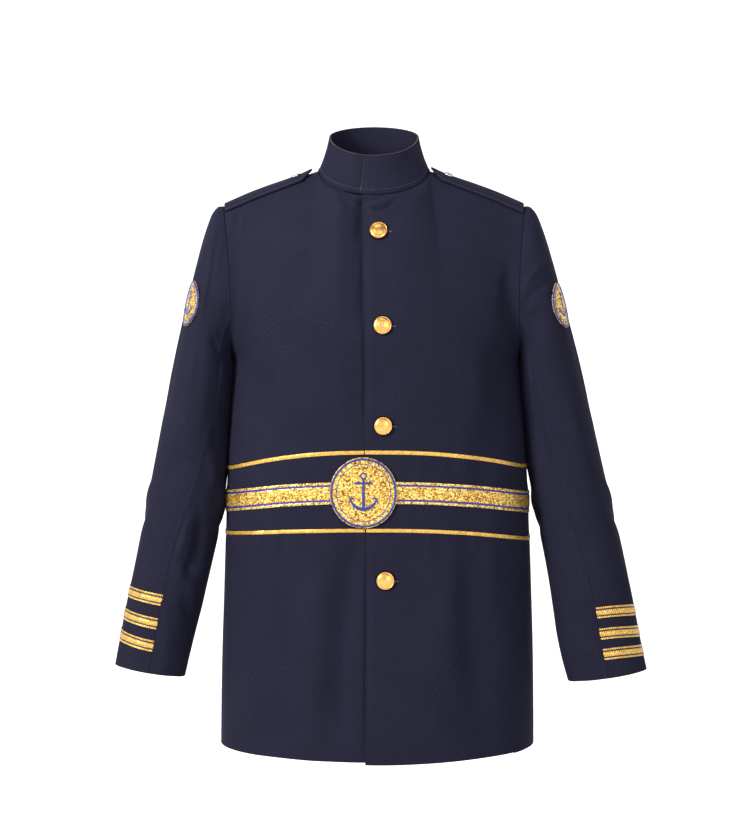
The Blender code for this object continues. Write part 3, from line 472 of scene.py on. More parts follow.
class Surface:
    # A fine grid of places and normals, read at fractional grid numbers

    def __init__(self, places, normals):
        self.places, self.normals = places, normals
        self.tree = None

    def at(self, v, u):
        v, u = np.broadcast_arrays(np.asarray(v, float), np.asarray(u, float))
        rows, columns = self.places.shape[:2]
        r, c = np.clip(v.astype(int), 0, rows - 2), np.clip(u.astype(int), 0, columns - 2)
        s, t = (u - c)[..., None], (v - r)[..., None]

        def blend(g):
            low = g[r, c] * (1 - s) + g[r, c + 1] * s
            return low * (1 - t) + (g[r + 1, c] * (1 - s) + g[r + 1, c + 1] * s) * t

        return blend(self.places), unit(blend(self.normals))

    def find(self, points):
        # The grid numbers of the places nearest to these points
        rows, columns = self.places.shape[:2]
        if self.tree is None:
            self.tree = KDTree(rows * columns)
            for i, p in enumerate(self.places.reshape(-1, 3)):
                self.tree.insert(p, i)
            self.tree.balance()
        found = np.array([self.tree.find(p)[1] for p in points])
        v, u = (found // columns).astype(float), (found % columns).astype(float)
        for _ in range(4):
            here, _ = self.at(v, u)
            r, c = np.clip(v.astype(int), 0, rows - 2), np.clip(u.astype(int), 0, columns - 2)
            alongU = self.places[r, c + 1] - self.places[r, c]
            alongV = self.places[r + 1, c] - self.places[r, c]
            off = points - here
            u = np.clip(u + np.sum(off * alongU, -1) / np.sum(alongU ** 2, -1), 0, columns - 1)
            v = np.clip(v + np.sum(off * alongV, -1) / np.sum(alongV ** 2, -1), 0, rows - 1)
        return v, u


class Cloth(Surface):
    # One cloth piece: a fine grid on its solid's outer face, with creases, and the face behind

    def __init__(self, node, parts, calm, meet, kind):
        # Parts says how many fine cells go to a cell of the solid, calm how far from each edge
        # the creases fade out, and meet how far each edge reaches past its solid to its
        # neighbour: left, right, low, high, in mm
        rows, columns, thickness = panelGrids[node]
        outer, inner = solidGrids(node, rows, columns, thickness)
        self.node, self.thickness = node, thickness
        self.v = self.lines(rows - 1, parts, finer.get(node, {}).get("rows"))
        self.u = self.lines(columns - 1, parts, finer.get(node, {}).get("columns"))
        base, behind = self.spread(outer), self.spread(inner)
        self.measure(base)
        self.flat = self.wayU[:, -1].max() * mm, self.wayV[-1].max() * mm
        self.area = self.areaOf(base)
        facing = self.facing(base)
        near = [self.wayU, self.wayU[:, -1:] - self.wayU, self.wayV, self.wayV[-1:] - self.wayV]
        quiet = np.ones(base.shape[:2])
        for distance, reach in zip(near, calm):
            if reach:
                quiet = quiet * smooth(distance, 0, reach)
        height = reliefAt(base, facing, kind) * quiet + self.puckers(near, calm)
        rounding = self.rounding(near, meet)
        places = base + facing * ((height - rounding) * mm)[..., None]
        through = unit(behind - base)
        # Where the inner face isn't behind the outer one, it is put there
        astray = np.sum(through * facing, -1, keepdims=True) > drape["straysFrom"]
        through = np.where(astray, -facing, through) * ((thickness - rounding) * mm)[..., None]
        behind = base + facing * (height * mm)[..., None] + through
        # Seams open a little toward the cuff and the hem, so the edges reach further there
        opened = smooth(drape["seamOpens"] - near[2], 0, drape["seamOpens"] - drape["seamOpen"])
        more = 1 + drape["reachMore"].get(kind, 0) * opened[..., None]
        for grid in (places, behind):
            for edge, reach, share in zip(self.edges(grid), meet, self.edges(more)):
                edge[0] += unit(edge[0] - edge[1]) * share[0] * reach * mm
        self.behind = behind
        self.measure(places)
        super().__init__(places, self.facing(places))

    def lines(self, cells, parts, fine):
        # Even lines, with more of them close to the edges and where the folds are fine
        edge = np.array([0.012, 0.035, 0.075])
        inner = np.linspace(0, cells, cells * parts + 1)
        extra = np.arange(*fine) if fine else edge
        return np.unique(np.concatenate([inner, edge, cells - edge, extra]).round(5))

    def spread(self, grid):
        return curved(curved(grid, self.v).transpose(1, 0, 2), self.u).transpose(1, 0, 2)

    def facing(self, grid):
        across, along = np.gradient(grid, axis=1), np.gradient(grid, axis=0)
        return unit(np.cross(across, along))

    def measure(self, grid):
        # Lengths across each row and up each column, in mm
        self.wayU = lengthAlong(grid.transpose(1, 0, 2)).T / mm
        self.wayV = lengthAlong(grid) / mm

    def areaOf(self, grid):
        across = np.diff(grid, axis=1)[:-1]
        along = np.diff(grid, axis=0)[:, :-1]
        return float(np.linalg.norm(np.cross(across, along), axis=-1).sum())

    def edges(self, grid):
        # The grid turned so that the left, right, low and high edge in turn comes first
        turned = grid.transpose(1, 0, 2)
        return turned, turned[::-1], grid, grid[::-1]

    def puckers(self, near, calm):
        # Small ripples along the seams, of uneven length so that no two are alike
        total = np.zeros_like(near[0])
        along = [self.wayV, self.wayV, self.wayU, self.wayU]
        for k in range(4):
            if not calm[k]:
                continue
            wave = along[k] / drape["puckerPitch"]
            uneven = 1.2 * np.sin(wave * 1.31 + k) + 0.8 * np.sin(wave * 0.47 + 2 * k)
            ripple = np.sin(2 * math.pi * (wave + 0.35 * uneven)) * (0.6 + 0.4 * np.sin(wave * 0.9))
            fade = np.exp(-near[k] / drape["puckerReach"]) * smooth(near[k], 0.2, 3.0)
            total += drape["pucker"] * ripple * fade
        return total

    def rounding(self, near, meet):
        # Free edges are turned in and round away, and a seam leaves only a narrow groove
        total = np.zeros_like(near[0])
        for distance, reach in zip(near, meet):
            r = drape["seamGroove"] if reach else self.thickness * drape["turnIn"]
            short = np.clip(r - distance, 0, r)
            total = np.maximum(total, r - np.sqrt(np.maximum(r * r - short * short, 0)))
        return total

    def uv(self, straight=0.5):
        # Metres along the cloth, measured from one column so that the weave runs straight there
        middle = int(np.argmin(np.abs(self.u / self.u[-1] - straight)))
        return np.stack([(self.wayU - self.wayU[:, middle:middle + 1]) * mm, self.wayV * mm], -1)

    def build(self, material, slot, straight=0.5):
        rows, columns = self.places.shape[:2]
        count = rows * columns
        points = np.concatenate([self.places.reshape(-1, 3), self.behind.reshape(-1, 3)])
        numbers = np.arange(count).reshape(rows, columns)
        faces = gridFaces(rows, columns) + gridFaces(rows, columns, count, flip=True)
        rim = [*numbers[0, :], *numbers[1:, -1], *numbers[-1, -2::-1], *numbers[-2:0:-1, 0]]
        rim = [int(i) for i in rim]
        for a, b in zip(rim, rim[1:] + rim[:1]):
            faces.append((b, a, count + a, count + b))
        uv = self.uv(straight).reshape(-1, 2)
        made = meshObject(self.node + "_cloth", points, faces, np.concatenate([uv, uv]), sharp=75)
        return place(made, material, [self.node])


# Materials

def wire(tree, made, links, inputs):
    # Sets inputs of a node by name, and links others to sockets
    for key, value in inputs.items():
        made.inputs[key].default_value = value
    for key, source in links.items():
        tree.links.new(source, made.inputs[key])


def node(tree, kind, links=None, inputs=None, **settings):
    # Adds a node with its settings, inputs and links
    made = tree.nodes.new(kind)
    for key, value in settings.items():
        setattr(made, key, value)
    wire(tree, made, links or {}, inputs or {})
    return made


def waveScale(pitch):
    # A wave texture's scale for bands that are pitch mm apart: it has 20 radians to the unit
    return math.pi / (10 * pitch * mm)


def newMaterial(name):
    made = bpy.data.materials.new(name)
    made.use_nodes = True
    tree = made.node_tree
    return made, tree, tree.nodes["Principled BSDF"]


twill = {
    "light": "#303046",
    "dark": "#191928",
    "sheen": "#8f93b8",
    "rib": 2.1,         # mm between twill ribs; real ones are 0.5, too fine to show
    "thread": 2.0,      # mm across a fleck of uneven yarn, coarser than the real 0.4
    "cloud": 60.0,      # mm across a patch of slightly different shade
    "ribHeight": 0.13,  # mm
    "ribSlant": 58,     # degrees
    "roughness": 0.88,
    "gloss": 0.07,
}


def woolBlendTwill():
    # Matt worsted-look twill, piece dyed: fine slanting ribs and uneven yarn, dark and even
    made, tree, shader = newMaterial("woolBlendTwill")
    uv = node(tree, "ShaderNodeUVMap", uv_map="cloth").outputs["UV"]
    turned = node(tree, "ShaderNodeMapping", {"Vector": uv},
                  inputs={"Rotation": (0, 0, math.radians(twill["ribSlant"]))}).outputs["Vector"]
    ribs = node(tree, "ShaderNodeTexWave", {"Vector": turned}, wave_profile="SIN",
                inputs={"Scale": waveScale(twill["rib"]), "Distortion": 1.2, "Detail": 1.0,
                        "Detail Scale": 3.0}).outputs["Fac"]
    flecks = node(tree, "ShaderNodeTexNoise", {"Vector": uv},
                  inputs={"Scale": 1 / (twill["thread"] * mm), "Detail": 2.0}).outputs["Fac"]
    clouds = node(tree, "ShaderNodeTexNoise", {"Vector": uv},
                  inputs={"Scale": 1 / (twill["cloud"] * mm), "Detail": 3.0}).outputs["Fac"]
    weave = node(tree, "ShaderNodeMath", {0: ribs, 2: flecks}, operation="MULTIPLY_ADD",
                 inputs={1: 0.25})
    mixed = node(tree, "ShaderNodeMath", {0: clouds, 2: weave.outputs[0]},
                 operation="MULTIPLY_ADD", inputs={1: 0.25})
    shade = node(tree, "ShaderNodeMapRange", {"Value": mixed.outputs[0]},
                 inputs={"From Min": 0.42, "From Max": 1.08})
    base = node(tree, "ShaderNodeMix", {"Factor": shade.outputs["Result"]}, data_type="RGBA",
                inputs={6: colour(twill["dark"]), 7: colour(twill["light"])})
    height = node(tree, "ShaderNodeMath", {0: ribs, 1: flecks}, operation="ADD")
    bump = node(tree, "ShaderNodeBump", {"Height": height.outputs[0]},
                inputs={"Strength": 0.55, "Distance": twill["ribHeight"] * mm})
    wire(tree, shader, {"Base Color": base.outputs[2], "Normal": bump.outputs["Normal"]},
         {"Roughness": twill["roughness"], "Specular IOR Level": twill["gloss"],
          "Sheen Weight": 0.015, "Sheen Roughness": 0.4, "Sheen Tint": colour(twill["sheen"])})
    return made


lurex = {
    # the first and the third colour are painted glint and painted shade on the foil's flecks; gold is
    # its own colour
    "paintedGlint": "#ffe98e",
    "gold": "#dca336",
    "paintedFleckShade": "#6f4208",
    "blue": "#16309c",
    "navy": "#0d1234",
    "fleck": 1.6,       # mm across a glint of the flat foil yarn, coarser than the real 0.4
    "pick": 2.1,        # mm between ribs across the tape, coarser than the real 0.8
    "pickHeight": 0.12,     # mm
    "cord": 2.6,        # mm between the slanting turns of a laid gold cord
    "roughness": (0.28, 0.60),  # of the smoothest and the dullest fleck
    "metallic": 0.45,
}


def foilPaintedGlints(tree, uv, glitter, turns):
    # Gold foil yarn: each fleck is pale or dark by turns, a painted glint or painted shade for how
    # each fleck, lying at its own angle, catches the light. Glitter is how much the flecks differ, and
    # turns how much the cord's slanting turns show as painted light and shade.
    flecks = node(tree, "ShaderNodeTexVoronoi", {"Vector": uv},
                  inputs={"Scale": 1 / (lurex["fleck"] * mm), "Randomness": 1.0})
    spread = node(tree, "ShaderNodeSeparateColor", {"Color": flecks.outputs["Color"]})
    slanted = node(tree, "ShaderNodeMapping", {"Vector": uv},
                   inputs={"Rotation": (0, 0, math.radians(32))}).outputs["Vector"]
    laid = node(tree, "ShaderNodeTexWave", {"Vector": slanted}, wave_profile="SIN",
                inputs={"Scale": waveScale(lurex["cord"]), "Distortion": 1.0, "Detail": 1.0})
    # 0.5 in the middle, with both added about it
    glints = node(tree, "ShaderNodeMath", {0: spread.outputs["Red"]}, operation="MULTIPLY_ADD",
                  inputs={1: glitter, 2: 0.5 - 0.5 * glitter - 0.5 * turns})
    both = node(tree, "ShaderNodeMath", {0: laid.outputs["Fac"], 2: glints.outputs[0]},
                operation="MULTIPLY_ADD", inputs={1: turns})
    ramp = node(tree, "ShaderNodeValToRGB", {"Fac": both.outputs[0]})
    stops = ramp.color_ramp.elements
    stops[0].position, stops[0].color = 0.12, colour(lurex["paintedFleckShade"])
    stops[1].position, stops[1].color = 0.94, colour(lurex["paintedGlint"])
    middle = stops.new(0.46)
    middle.color = colour(lurex["gold"])
    return ramp.outputs["Color"], spread.outputs["Green"]


def lurexBraid(name, bands, glitter=0.95, turns=0.0):
    # Woven metallic braid, slit foil over a polyester core: warm gold with painted glints in its
    # colour, with dyed stripes that stay matt. Bands are (share of the width where it starts, hex or
    # None).
    made, tree, shader = newMaterial(name)
    uv = node(tree, "ShaderNodeUVMap", uv_map="cloth").outputs["UV"]
    gold, glint = foilPaintedGlints(tree, uv, glitter, turns)
    share = node(tree, "ShaderNodeAttribute", attribute_name="part").outputs["Fac"]
    stripe = node(tree, "ShaderNodeValToRGB", {"Fac": share})
    dyed = node(tree, "ShaderNodeValToRGB", {"Fac": share})
    for ramp in (stripe.color_ramp, dyed.color_ramp):
        ramp.interpolation = "CONSTANT"
        while len(ramp.elements) > 1:
            ramp.elements.remove(ramp.elements[-1])
    for i, (start, tint) in enumerate(bands):
        for ramp, value in ((stripe.color_ramp, [float(tint is None)] * 3 + [1]),
                            (dyed.color_ramp, colour(tint or lurex["gold"]))):
            stop = ramp.elements[0] if i == 0 else ramp.elements.new(start)
            stop.position, stop.color = start, value
    base = node(tree, "ShaderNodeMix", {"Factor": stripe.outputs["Color"],
                6: dyed.outputs["Color"], 7: gold}, data_type="RGBA")
    metal = node(tree, "ShaderNodeMath", {0: stripe.outputs["Color"]}, operation="MULTIPLY",
                 inputs={1: lurex["metallic"]})
    smoothest, dullest = lurex["roughness"]
    rough = node(tree, "ShaderNodeMapRange", {"Value": glint},
                 inputs={"To Min": smoothest, "To Max": dullest})
    ribs = node(tree, "ShaderNodeTexWave", {"Vector": uv}, bands_direction="X",
                inputs={"Scale": waveScale(lurex["pick"]), "Distortion": 0.8,
                        "Detail": 1.0, "Detail Scale": 2.0})
    rise = node(tree, "ShaderNodeMath", {0: ribs.outputs["Fac"], 1: glint}, operation="ADD")
    bump = node(tree, "ShaderNodeBump", {"Height": rise.outputs[0]},
                inputs={"Strength": 0.6, "Distance": lurex["pickHeight"] * mm})
    wire(tree, shader, {"Base Color": base.outputs[2], "Metallic": metal.outputs[0],
                        "Roughness": rough.outputs["Result"], "Normal": bump.outputs["Normal"]}, {})
    return made


def satinThread(name, tint, pitch=0.55, slant=70, roughness=0.42):
    # Viscose embroidery or sewing thread: lighter on each strand and darker between them, painted
    # highlight and shade for a soft lengthwise gloss that breaks at every strand. Pitch is mm between
    # strands and slant their slope in degrees.
    made, tree, shader = newMaterial(name)
    uv = node(tree, "ShaderNodeUVMap", uv_map="cloth").outputs["UV"]
    turned = node(tree, "ShaderNodeMapping", {"Vector": uv},
                  inputs={"Rotation": (0, 0, math.radians(slant))}).outputs["Vector"]
    strands = node(tree, "ShaderNodeTexWave", {"Vector": turned},
                   inputs={"Scale": waveScale(pitch), "Distortion": 0.6, "Detail": 1.0})
    uneven = node(tree, "ShaderNodeTexNoise", {"Vector": uv},
                  inputs={"Scale": 1 / (1.6 * mm), "Detail": 2.0})
    both = node(tree, "ShaderNodeMath", {0: strands.outputs["Fac"], 1: uneven.outputs["Fac"]},
                operation="MULTIPLY")
    # painted shade between the strands and painted highlight on them
    dark = [c * 0.55 for c in colour(tint)[:3]] + [1.0]
    light = [min(1.0, c * 1.35) for c in colour(tint)[:3]] + [1.0]
    base = node(tree, "ShaderNodeMix", {"Factor": both.outputs[0]}, data_type="RGBA",
                inputs={6: dark, 7: light})
    bump = node(tree, "ShaderNodeBump", {"Height": both.outputs[0]},
                inputs={"Strength": 0.6, "Distance": 0.1 * mm})
    wire(tree, shader, {"Base Color": base.outputs[2], "Normal": bump.outputs["Normal"]},
         {"Roughness": roughness, "Sheen Weight": 0.15})
    return made


def platedMetal(name, tint, hollowShadeTint, roughness, grain):
    # Stamped, plated metal: its colour is lighter on the high points and darker in the hollows, which
    # is painted shade, with hair-fine marks, grain mm apart, that soften the reflections
    made, tree, shader = newMaterial(name)
    spot = node(tree, "ShaderNodeTexCoord").outputs["Object"]
    marks = node(tree, "ShaderNodeTexNoise", {"Vector": spot},
                 inputs={"Scale": 1 / (grain * mm), "Detail": 4.0, "Roughness": 0.65})
    patches = node(tree, "ShaderNodeTexNoise", {"Vector": spot},
                   inputs={"Scale": 1 / (6 * mm), "Detail": 2.0})
    hollow = node(tree, "ShaderNodeNewGeometry").outputs["Pointiness"]
    high = node(tree, "ShaderNodeMapRange", {"Value": hollow},
                inputs={"From Min": 0.44, "From Max": 0.56})
    mixed = node(tree, "ShaderNodeMath", {0: high.outputs["Result"], 1: patches.outputs["Fac"]},
                 operation="MULTIPLY_ADD", inputs={2: 0.1})
    # the hollows' darker colour is painted shade; the patches add random tone
    base = node(tree, "ShaderNodeMix", {"Factor": mixed.outputs[0]}, data_type="RGBA",
                inputs={6: colour(hollowShadeTint), 7: colour(tint)})
    rough = node(tree, "ShaderNodeMapRange", {"Value": marks.outputs["Fac"]},
                 inputs={"To Min": roughness - 0.08, "To Max": roughness + 0.14})
    bump = node(tree, "ShaderNodeBump", {"Height": marks.outputs["Fac"]},
                inputs={"Strength": 0.25, "Distance": 0.05 * mm})
    wire(tree, shader, {"Base Color": base.outputs[2], "Roughness": rough.outputs["Result"],
                        "Normal": bump.outputs["Normal"]}, {"Metallic": 1.0})
    return made


print("Materials")
navyTwill = woolBlendTwill()
blue, navy = lurex["blue"], lurex["navy"]
# The navy bands at each tape's outer edges are painted shadow along its edges; the cuff's navy stripes
# between its gold ones are its own.
tapeFinish = {
    "line": lurexBraid("lurexCord", [(0.0, navy), (0.13, None), (0.87, navy)], 0.30, 0.25),
    "braid": lurexBraid("lurexBraidBlueStripes", [
        (0.0, navy), (0.03, None), (0.135, blue), (0.22, None), (0.78, blue), (0.865, None),
        (0.97, navy)]),
    "cuff": lurexBraid("lurexBraidNavyStripes", [
        (0.0, navy), (0.035, None), (0.165, navy), (0.30, None), (0.70, navy), (0.835, None),
        (0.965, navy)], 0.35, 0.45),
}
badgeGround = lurexBraid("lurexGround", [(0.0, None)])
blueThread = satinThread("blueViscoseThread", "#2443a4")
tanThread = satinThread("tanCottonThread", "#8d6c55", 0.5, 20, 0.7)
oliveThread = satinThread("oliveCottonThread", "#6f6a3a", 0.5, 20, 0.7)
seamThread = satinThread("navyPolyesterThread", "#474a7c", 0.5, 20, 0.55)
# each metal's second colour is the painted shade in its hollows
giltBrass = platedMetal("giltStampedBrass", "#f8cf86", "#c08434", 0.26, 0.5)
# Near black, not the brass's own colour: painted shadow for the dark ring round each button's rim
paintedShadowFlange = platedMetal("brassFlangePaintedShadow", "#100e1c", "#060510", 0.6, 0.5)
nickelPlate = platedMetal("nickelPlatedSteel", "#dcdde0", "#8c8e93", 0.2, 0.4)

print("Cloth")
partsPerCell = 8  # fine cells along each side of a solid's cell
sleeveCut = ((8, 8, 0, 12), (0.3, 0.3, 0, 0.3), "sleeve", 0.5)
strapCut = ((0, 0, 0, 0), (0, 0, 0, 0), "strap", 0.5)
clothPieces = {
    # node: calm, meet (each left, right, low, high), kind, share where the grain is straight
    "front_left": ((0, 26, 0, 8), (0, 0.2, 0, 0.3), "body", 0.06),
    "front_right": ((26, 0, 0, 8), (0.2, 0, 0, 0.3), "body", 0.94),
    "back_left": ((26, 0, 0, 30), (0.2, 0.18, 0, 0.3), "body", 1.0),
    "back_right": ((0, 26, 0, 30), (0.18, 0.2, 0, 0.3), "body", 0.0),
    "sleeve_top_left": sleeveCut,
    "sleeve_top_right": sleeveCut,
    "sleeve_under_left": sleeveCut,
    "sleeve_under_right": sleeveCut,
    "collar": ((0, 0, 7, 7), (0, 0, 3.4, 0), "collar", 0.5),
    "shoulder_strap_left": strapCut,
    "shoulder_strap_right": strapCut,
}
finer = {
    # node: more lines where its folds are fine, from, to and step in cells of its solid
    "front_right": {"columns": (11.5, 12.6, 0.0625)},
    "front_left": {"rows": (20.0, 22.9, 0.0625), "columns": (0.2, 4.0, 0.0625)},
    "collar": {"columns": (30.75, 31.75, 0.0625)},
}
cloth, clothObjects = {}, {}
for name, (calm, meet, kind, straight) in clothPieces.items():
    cloth[name] = Cloth(name, partsPerCell, calm, meet, kind)
    clothObjects[name] = cloth[name].build(navyTwill, "navy_cloth", straight)
wholeBack = Surface(*(np.concatenate([getattr(cloth[name], grid) for name in
                                      ("back_left", "back_right")], axis=1)
                      for grid in ("places", "normals")))

print("Braid")
tapes = {
    # kind: shares of the width from one edge to the middle, with mm above the cloth there
    "line": ((0.0, -0.3), (0.0, 0.35), (0.10, 0.75), (0.3, 1.05), (0.5, 1.12)),
    "braid": ((0.0, -0.3), (0.0, 0.5), (0.025, 0.95), (0.075, 1.12), (0.125, 1.0),
              (0.145, 0.65), (0.21, 0.65), (0.23, 1.0), (0.30, 1.15), (0.5, 1.18)),
    "cuff": ((0.0, -0.3), (0.0, 0.5), (0.03, 0.9), (0.07, 1.0), (0.12, 0.9), (0.15, 0.5),
             (0.29, 0.5), (0.32, 1.0), (0.5, 1.2)),
}
tapeReading = {
    "apart": 1.2,   # fine columns between two of the solid's own, at least
    "full": 0.75,   # of the usual points that one has; a seam under it splits one in two
}


def tapeOn(nodeName, panel, kind):
    # A braid along its solid's two edges, found on the cloth that it is sewn to
    v, u = panel.find(solidPoints(nodeName))
    order = np.argsort(u)
    v, u = v[order], u[order]
    breaks = np.where(np.diff(u) > tapeReading["apart"])[0] + 1
    groups = np.split(np.arange(len(u)), breaks)
    usual = np.median([len(g) for g in groups])
    groups = [g for g in groups if len(g) > tapeReading["full"] * usual]
    knots = np.array([(u[g].mean(), v[g].min(), v[g].max()) for g in groups])
    knots[0, 0], knots[-1, 0] = u.min(), u.max()
    inner = np.arange(math.ceil(knots[0, 0] + 0.3), math.floor(knots[-1, 0] - 0.3) + 1)
    lines = np.concatenate([[knots[0, 0]], inner, [knots[-1, 0]]])
    fine = curved(knots, np.interp(lines, knots[:, 0], np.arange(len(knots))))
    half, other = np.array(tapes[kind]), np.array(tapes[kind])[-2::-1]
    shares = np.concatenate([half[:, 0], 1 - other[:, 0]])
    heights = np.concatenate([half[:, 1], other[:, 1]])
    rows = fine[:, 1] + (fine[:, 2] - fine[:, 1]) * shares[:, None]
    places, normals = panel.at(rows, np.broadcast_to(lines, rows.shape))
    places = places + normals * heights[:, None, None] * mm
    way = lengthAlong(places[4])  # one row's length, which the foil's pattern follows
    width = np.linalg.norm(places[-1] - places[0], axis=-1)
    uv = np.stack([np.broadcast_to(way, rows.shape), width * shares[:, None]], -1)
    count, length = rows.shape
    faces = gridFaces(count, length)
    for i in range(length - 1):
        faces.append((i + 1, i, (count - 1) * length + i, (count - 1) * length + i + 1))
    faces.append([r * length for r in range(count)][::-1])
    faces.append([r * length + length - 1 for r in range(count)])
    part = np.broadcast_to(np.clip(shares, 0.001, 0.999)[:, None], rows.shape)
    made = meshObject(nodeName + "_lace", places.reshape(-1, 3), faces, uv.reshape(-1, 2),
                      part.ravel(), 60)
    return place(made, tapeFinish[kind], [nodeName])


onCloth = {name: [] for name in cloth}  # what is sewn to each cloth piece
for part, panel, owner in (("front_left", cloth["front_left"], "front_left"),
                           ("front_right", cloth["front_right"], "front_right"),
                           ("back", wholeBack, "back_left")):
    for nodeName, kind in (("waist_line_upper_", "line"), ("waist_braid_", "braid"),
                           ("waist_line_lower_", "line")):
        onCloth[owner].append(tapeOn(nodeName + part, panel, kind))
for side in ("left", "right"):
    for number in (1, 2, 3):
        owner = "sleeve_top_" + side
        onCloth[owner].append(tapeOn(f"cuff_braid_{side}_{number}", cloth[owner], "cuff"))


sunk = 0.25  # mm that a strand lies in the cloth


def strand(path, normals, widths, heights, sides=8, closed=False):
    # A half-round raised line along a path on a surface: points, faces and lengthwise uv
    path, normals = np.asarray(path, float), np.asarray(normals, float)
    step = np.roll(path, -1, 0) - np.roll(path, 1, 0) if closed else np.gradient(path, axis=0)
    across = unit(np.cross(normals, step))
    widths = np.broadcast_to(widths, len(path))[:, None, None]
    heights = np.broadcast_to(heights, len(path))[:, None, None]
    turn = np.linspace(0, math.pi, sides)[None, :, None]
    ring = across[:, None] * np.cos(turn) * widths / 2 + normals[:, None] * np.sin(turn) * heights
    points = path[:, None] + ring - normals[:, None] * sunk * mm
    count = len(path)
    around = np.broadcast_to(turn[0, :, 0] / math.pi * widths[:, 0], (count, sides))
    uv = np.stack([np.broadcast_to(lengthAlong(path)[:, None], (count, sides)), around], -1)
    return points.reshape(-1, 3), tubeFaces(count, sides, closed), uv.reshape(-1, 2)


def joined(parts):
    # Several (points, faces, uv) as one
    points, faces, uv, start = [], [], [], 0
    for p, f, t in parts:
        points.append(p)
        uv.append(t)
        faces += [tuple(start + i for i in face) for face in f]
        start += len(p)
    return np.concatenate(points), faces, np.concatenate(uv)


def stitchLine(path, normals, thread):
    # Separate stitches along a line: each rises out of the cloth and goes back in
    way = lengthAlong(path) / mm
    pitch = thread["length"] + thread["gap"]
    count = int(way[-1] // pitch)
    shares = np.linspace(0, 1, 5)
    parts = []
    for i in range(count):
        start = (way[-1] - count * pitch) / 2 + i * pitch + thread["gap"] / 2
        spots = start + shares * thread["length"]
        line = np.stack([np.interp(spots, way, path[:, k]) for k in range(3)], -1)
        up = unit(np.stack([np.interp(spots, way, normals[:, k]) for k in range(3)], -1))
        if thread.get("slant"):
            sideways = unit(np.cross(up, np.gradient(line, axis=0)))
            line = line + sideways * ((shares - 0.5) * thread["slant"] * mm)[:, None]
        arch = np.sin(math.pi * shares) ** 0.6
        parts.append(strand(line, up, thread["wide"] * mm * (0.5 + 0.5 * arch),
                            (sunk + thread["high"] * arch) * mm, 6))
    return joined(parts)


print("Stitching")
threads = {
    "seam": {"length": 2.3, "gap": 0.7, "wide": 0.65, "high": 0.25},
    "collarEdge": {"length": 2.1, "gap": 0.9, "wide": 1.1, "high": 0.45, "slant": 0.6},
    "underHalf": {"length": 1.9, "gap": 0.7, "wide": 0.95, "high": 0.35, "slant": 0.8},
    "buttonhole": {"reach": (10.0, 17.0), "below": 1.0, "wide": 2.0, "high": 0.45},
}


def lineAlong(panel, edge, distance, start=0.0, end=1.0, count=400):
    # A line at a distance in mm from one edge, between two shares of that edge
    upright = edge in ("left", "right")
    way = panel.wayU.T if upright else panel.wayV
    if edge in ("right", "high"):
        way = way[-1:] - way
    along = np.linspace(start, end, count) * (way.shape[1] - 1)
    across = []
    for spot in along:
        i = min(int(spot), way.shape[1] - 2)
        line = way[:, i] * (1 - spot + i) + way[:, i + 1] * (spot - i)
        order = np.argsort(line)
        across.append(np.interp(distance, line[order], np.arange(len(line))[order]))
    across = np.array(across)
    return panel.at(along, across) if upright else panel.at(across, along)


def addStitches(name, parts, material, panelName):
    points, faces, uv = joined(parts)
    onCloth[panelName].append(place(meshObject(name, points, faces, uv), material))


collar = cloth["collar"]
addStitches("collar_topstitching", [
    stitchLine(*lineAlong(collar, "low", 1.5), threads["seam"]),
    stitchLine(*lineAlong(collar, "low", 9.4, 0.004, 0.97), threads["seam"]),
], seamThread, "collar")
rimLine, rimUp = lineAlong(collar, "high", 0.35, 0.004, 0.975, 700)
addStitches("collar_edge_stitching", [
    stitchLine(rimLine, unit(rimUp * 0.8 + np.array([0, 0, 0.6])), threads["collarEdge"]),
], tanThread, "collar")


def splitLine():
    # The row of stitches on the collar's under half, just beside the upper half's end
    ends = [collar.places[:, c] for c in (0, -1)]
    upper = min(ends, key=lambda line: line[:, 1].mean())
    beside = upper[2:-2] + np.array([-2.6, 3.6, 0]) * mm
    v, u = collar.find(beside)
    places, normals = collar.at(v, u)
    keep = (v > 0.06 * v.max()) & (v < 0.86 * v.max())
    return places[keep], normals[keep]


addStitches("collar_split_stitching", [stitchLine(*splitLine(), threads["underHalf"])],
            oliveThread, "collar")
for side in ("left", "right"):
    strap = cloth["shoulder_strap_" + side]
    addStitches(f"strap_stitching_{side}", [
        stitchLine(*lineAlong(strap, "left", 3.2, 0.01, 0.80), threads["seam"]),
        stitchLine(*lineAlong(strap, "right", 3.2, 0.01, 0.80), threads["seam"]),
    ], seamThread, "shoulder_strap_" + side)


print("Badges")
badge = {
    "rings": 26,
    "sides": 120,
    "edge": 0.945,          # share of the oval where the blue cord runs
    "edgeWide": 3.1,        # mm
    "line": 0.80,           # share where the thin inner ring runs
    "lineWide": 1.1,        # mm
    "anchorTall": 0.52,     # of the oval's height
    "lift": 0.45,           # mm from the middle of the solid's thickness to the embroidery
    "thick": 1.3,           # mm from that middle to the badge's back
    "patch": 0.04,          # m, about the reach of the patch below
}


